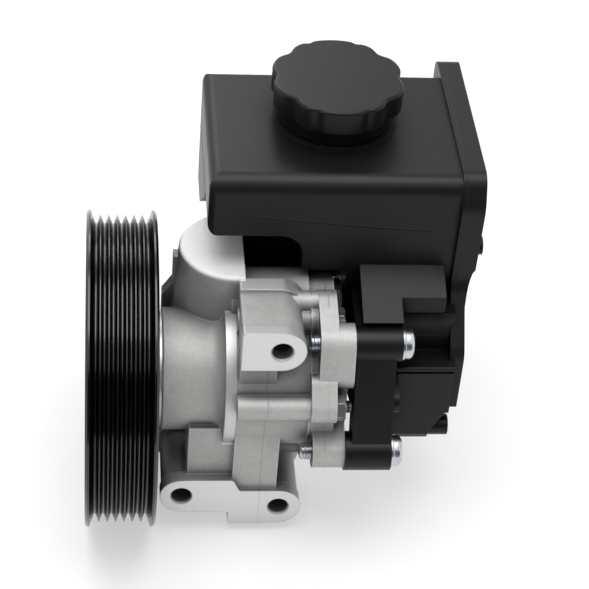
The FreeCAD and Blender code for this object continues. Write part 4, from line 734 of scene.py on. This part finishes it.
def floor_finish(colour, lift):
    """Pale floor that reads as white around the object and keeps its shadow."""
    finish = Finish("floor_paper")
    seen = finish.node("ShaderNodeLightPath", {}, {}, "Is Camera Ray")
    mirrored = finish.node("ShaderNodeLightPath", {}, {}, "Is Glossy Ray")
    through = finish.node("ShaderNodeLightPath", {}, {}, "Is Transmission Ray")
    finish.ends(Base_Color=(*colour, 1.0), Roughness=0.9, Emission_Color=(1.0, 1.0, 1.0, 1.0))
    glow = finish.node("ShaderNodeEmission", {}, {"Color": (1.0, 1.0, 1.0, 1.0), "Strength": lift})
    both = finish.tree.nodes.new("ShaderNodeAddShader")
    finish.tree.links.new(finish.shader.outputs[0], both.inputs[0])
    finish.tree.links.new(glow.socket, both.inputs[1])
    pick = finish.tree.nodes.new("ShaderNodeMixShader")
    finish.feed(pick.inputs[0], seen.larger(mirrored).larger(through))
    finish.tree.links.new(finish.shader.outputs[0], pick.inputs[1])
    finish.tree.links.new(both.outputs[0], pick.inputs[2])
    finish.tree.links.new(pick.outputs[0], finish.tree.nodes["Material Output"].inputs[0])
    return finish


def stage_world(seen_level, light_level):
    """White to the camera, in gloss and through glass, and a plain soft light on everything else."""
    world = bpy.data.worlds.new("white_room")
    bpy.context.scene.world = world
    world.use_nodes = True
    tree = world.node_tree
    back = tree.nodes["Background"]
    back.inputs["Color"].default_value = (1.0, 1.0, 1.0, 1.0)
    path = tree.nodes.new("ShaderNodeLightPath")
    seen = path.outputs["Is Camera Ray"]
    for ray in ("Is Glossy Ray", "Is Transmission Ray"):
        either = tree.nodes.new("ShaderNodeMath")
        either.operation = "MAXIMUM"
        tree.links.new(seen, either.inputs[0])
        tree.links.new(path.outputs[ray], either.inputs[1])
        seen = either.outputs[0]
    pick = tree.nodes.new("ShaderNodeMapRange")
    tree.links.new(seen, pick.inputs["Value"])
    pick.inputs["To Min"].default_value = light_level
    pick.inputs["To Max"].default_value = seen_level
    tree.links.new(pick.outputs[0], back.inputs["Strength"])


def photo_camera(lens):
    """Camera at the photograph's place: its columns are right, up and back."""
    yaw, pitch, roll = (math.radians(angle) for angle in (CAMERA_YAW, CAMERA_PITCH, CAMERA_ROLL))
    level = math.cos(pitch)
    ahead = Vector((math.sin(yaw) * level, math.cos(yaw) * level, -math.sin(pitch)))
    right = ahead.cross(Vector((0.0, 0.0, 1.0))).normalized()
    up = right.cross(ahead)
    right, up = (math.cos(roll) * right + math.sin(roll) * up,
                 -math.sin(roll) * right + math.cos(roll) * up)
    data = bpy.data.cameras.new("photo_camera")
    data.sensor_width, data.lens = 36.0, lens
    data.clip_start, data.clip_end = 0.01, 20.0
    camera = bpy.data.objects.new("photo_camera", data)
    bpy.context.scene.collection.objects.link(camera)
    turn = Matrix((right, up, -ahead)).transposed().to_4x4()
    camera.matrix_world = Matrix.Translation(CAMERA_PLACE) @ turn
    bpy.context.scene.camera = camera


class PUMP_OT_stage(bpy.types.Operator):
    """Build the floor, the lamps, the white surround and the camera"""

    bl_idname = "pump.stage"
    bl_label = "Stage"

    def execute(self, context):
        sizes = context.scene.pump_stage
        low = min(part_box("pulley")[0].z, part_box("pump_housing")[0].z)
        paper = floor_finish(scaled(sizes.floor_colour, FLOOR_SHADE), FLOOR_LIFT)
        plate("floor", FLOOR_HALF, FLOOR_HALF, low, paper)
        for name, place, width, height, power in LAMPS:
            soft_box(name, place, width, height, power * sizes.lamp_level)
        dark_card("dark_card")
        stage_world(WORLD_SEEN, WORLD_LIGHT)
        photo_camera(sizes.lens)
        context.scene.view_settings.view_transform = "Standard"
        return {"FINISHED"}


class PUMP_PT_sidebar(bpy.types.Panel):
    """The pump's pieces and sizes in the sidebar of the 3D view"""

    bl_idname = "PUMP_PT_sidebar"
    bl_label = "Power steering pump"
    bl_space_type = "VIEW_3D"
    bl_region_type = "UI"
    bl_category = "Pump"

    def draw(self, context):
        for group in GROUPS:
            box = self.layout.box()
            values = getattr(context.scene, group)
            for name in values.bl_rna.properties.keys():
                if name not in {"name", "rna_type"}:
                    box.prop(values, name)
        for operator in OPERATORS:
            self.layout.operator(operator.bl_idname)


GROUPS = {
    "pump_casting": PumpCasting,
    "pump_plastic": PumpPlastic,
    "pump_paint": PumpPaint,
    "pump_stage": PumpStage,
}
OPERATORS = (
    PUMP_OT_castings,
    PUMP_OT_pulley,
    PUMP_OT_reservoir,
    PUMP_OT_fasteners,
    PUMP_OT_drive,
    PUMP_OT_pumping_parts,
    PUMP_OT_stage,
)


def register():
    for kind in (*GROUPS.values(), *OPERATORS, PUMP_PT_sidebar):
        bpy.utils.register_class(kind)
    for name, kind in GROUPS.items():
        setattr(bpy.types.Scene, name, bpy.props.PointerProperty(type=kind))


def unregister():
    for name in GROUPS:
        delattr(bpy.types.Scene, name)
    for kind in (PUMP_PT_sidebar, *reversed(OPERATORS), *reversed(list(GROUPS.values()))):
        bpy.utils.unregister_class(kind)


def clear_start_scene():
    """Takes away what a new file holds, so that only the frame is left."""
    for thing in list(bpy.context.scene.objects):
        if not (thing.get("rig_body") or thing.name.startswith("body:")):
            bpy.data.objects.remove(thing)


def main():
    clear_start_scene()
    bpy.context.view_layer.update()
    register()
    for operator in OPERATORS:
        group, name = operator.bl_idname.split(".")
        getattr(getattr(bpy.ops, group), name)()


if __name__ == "__main__":
    main()
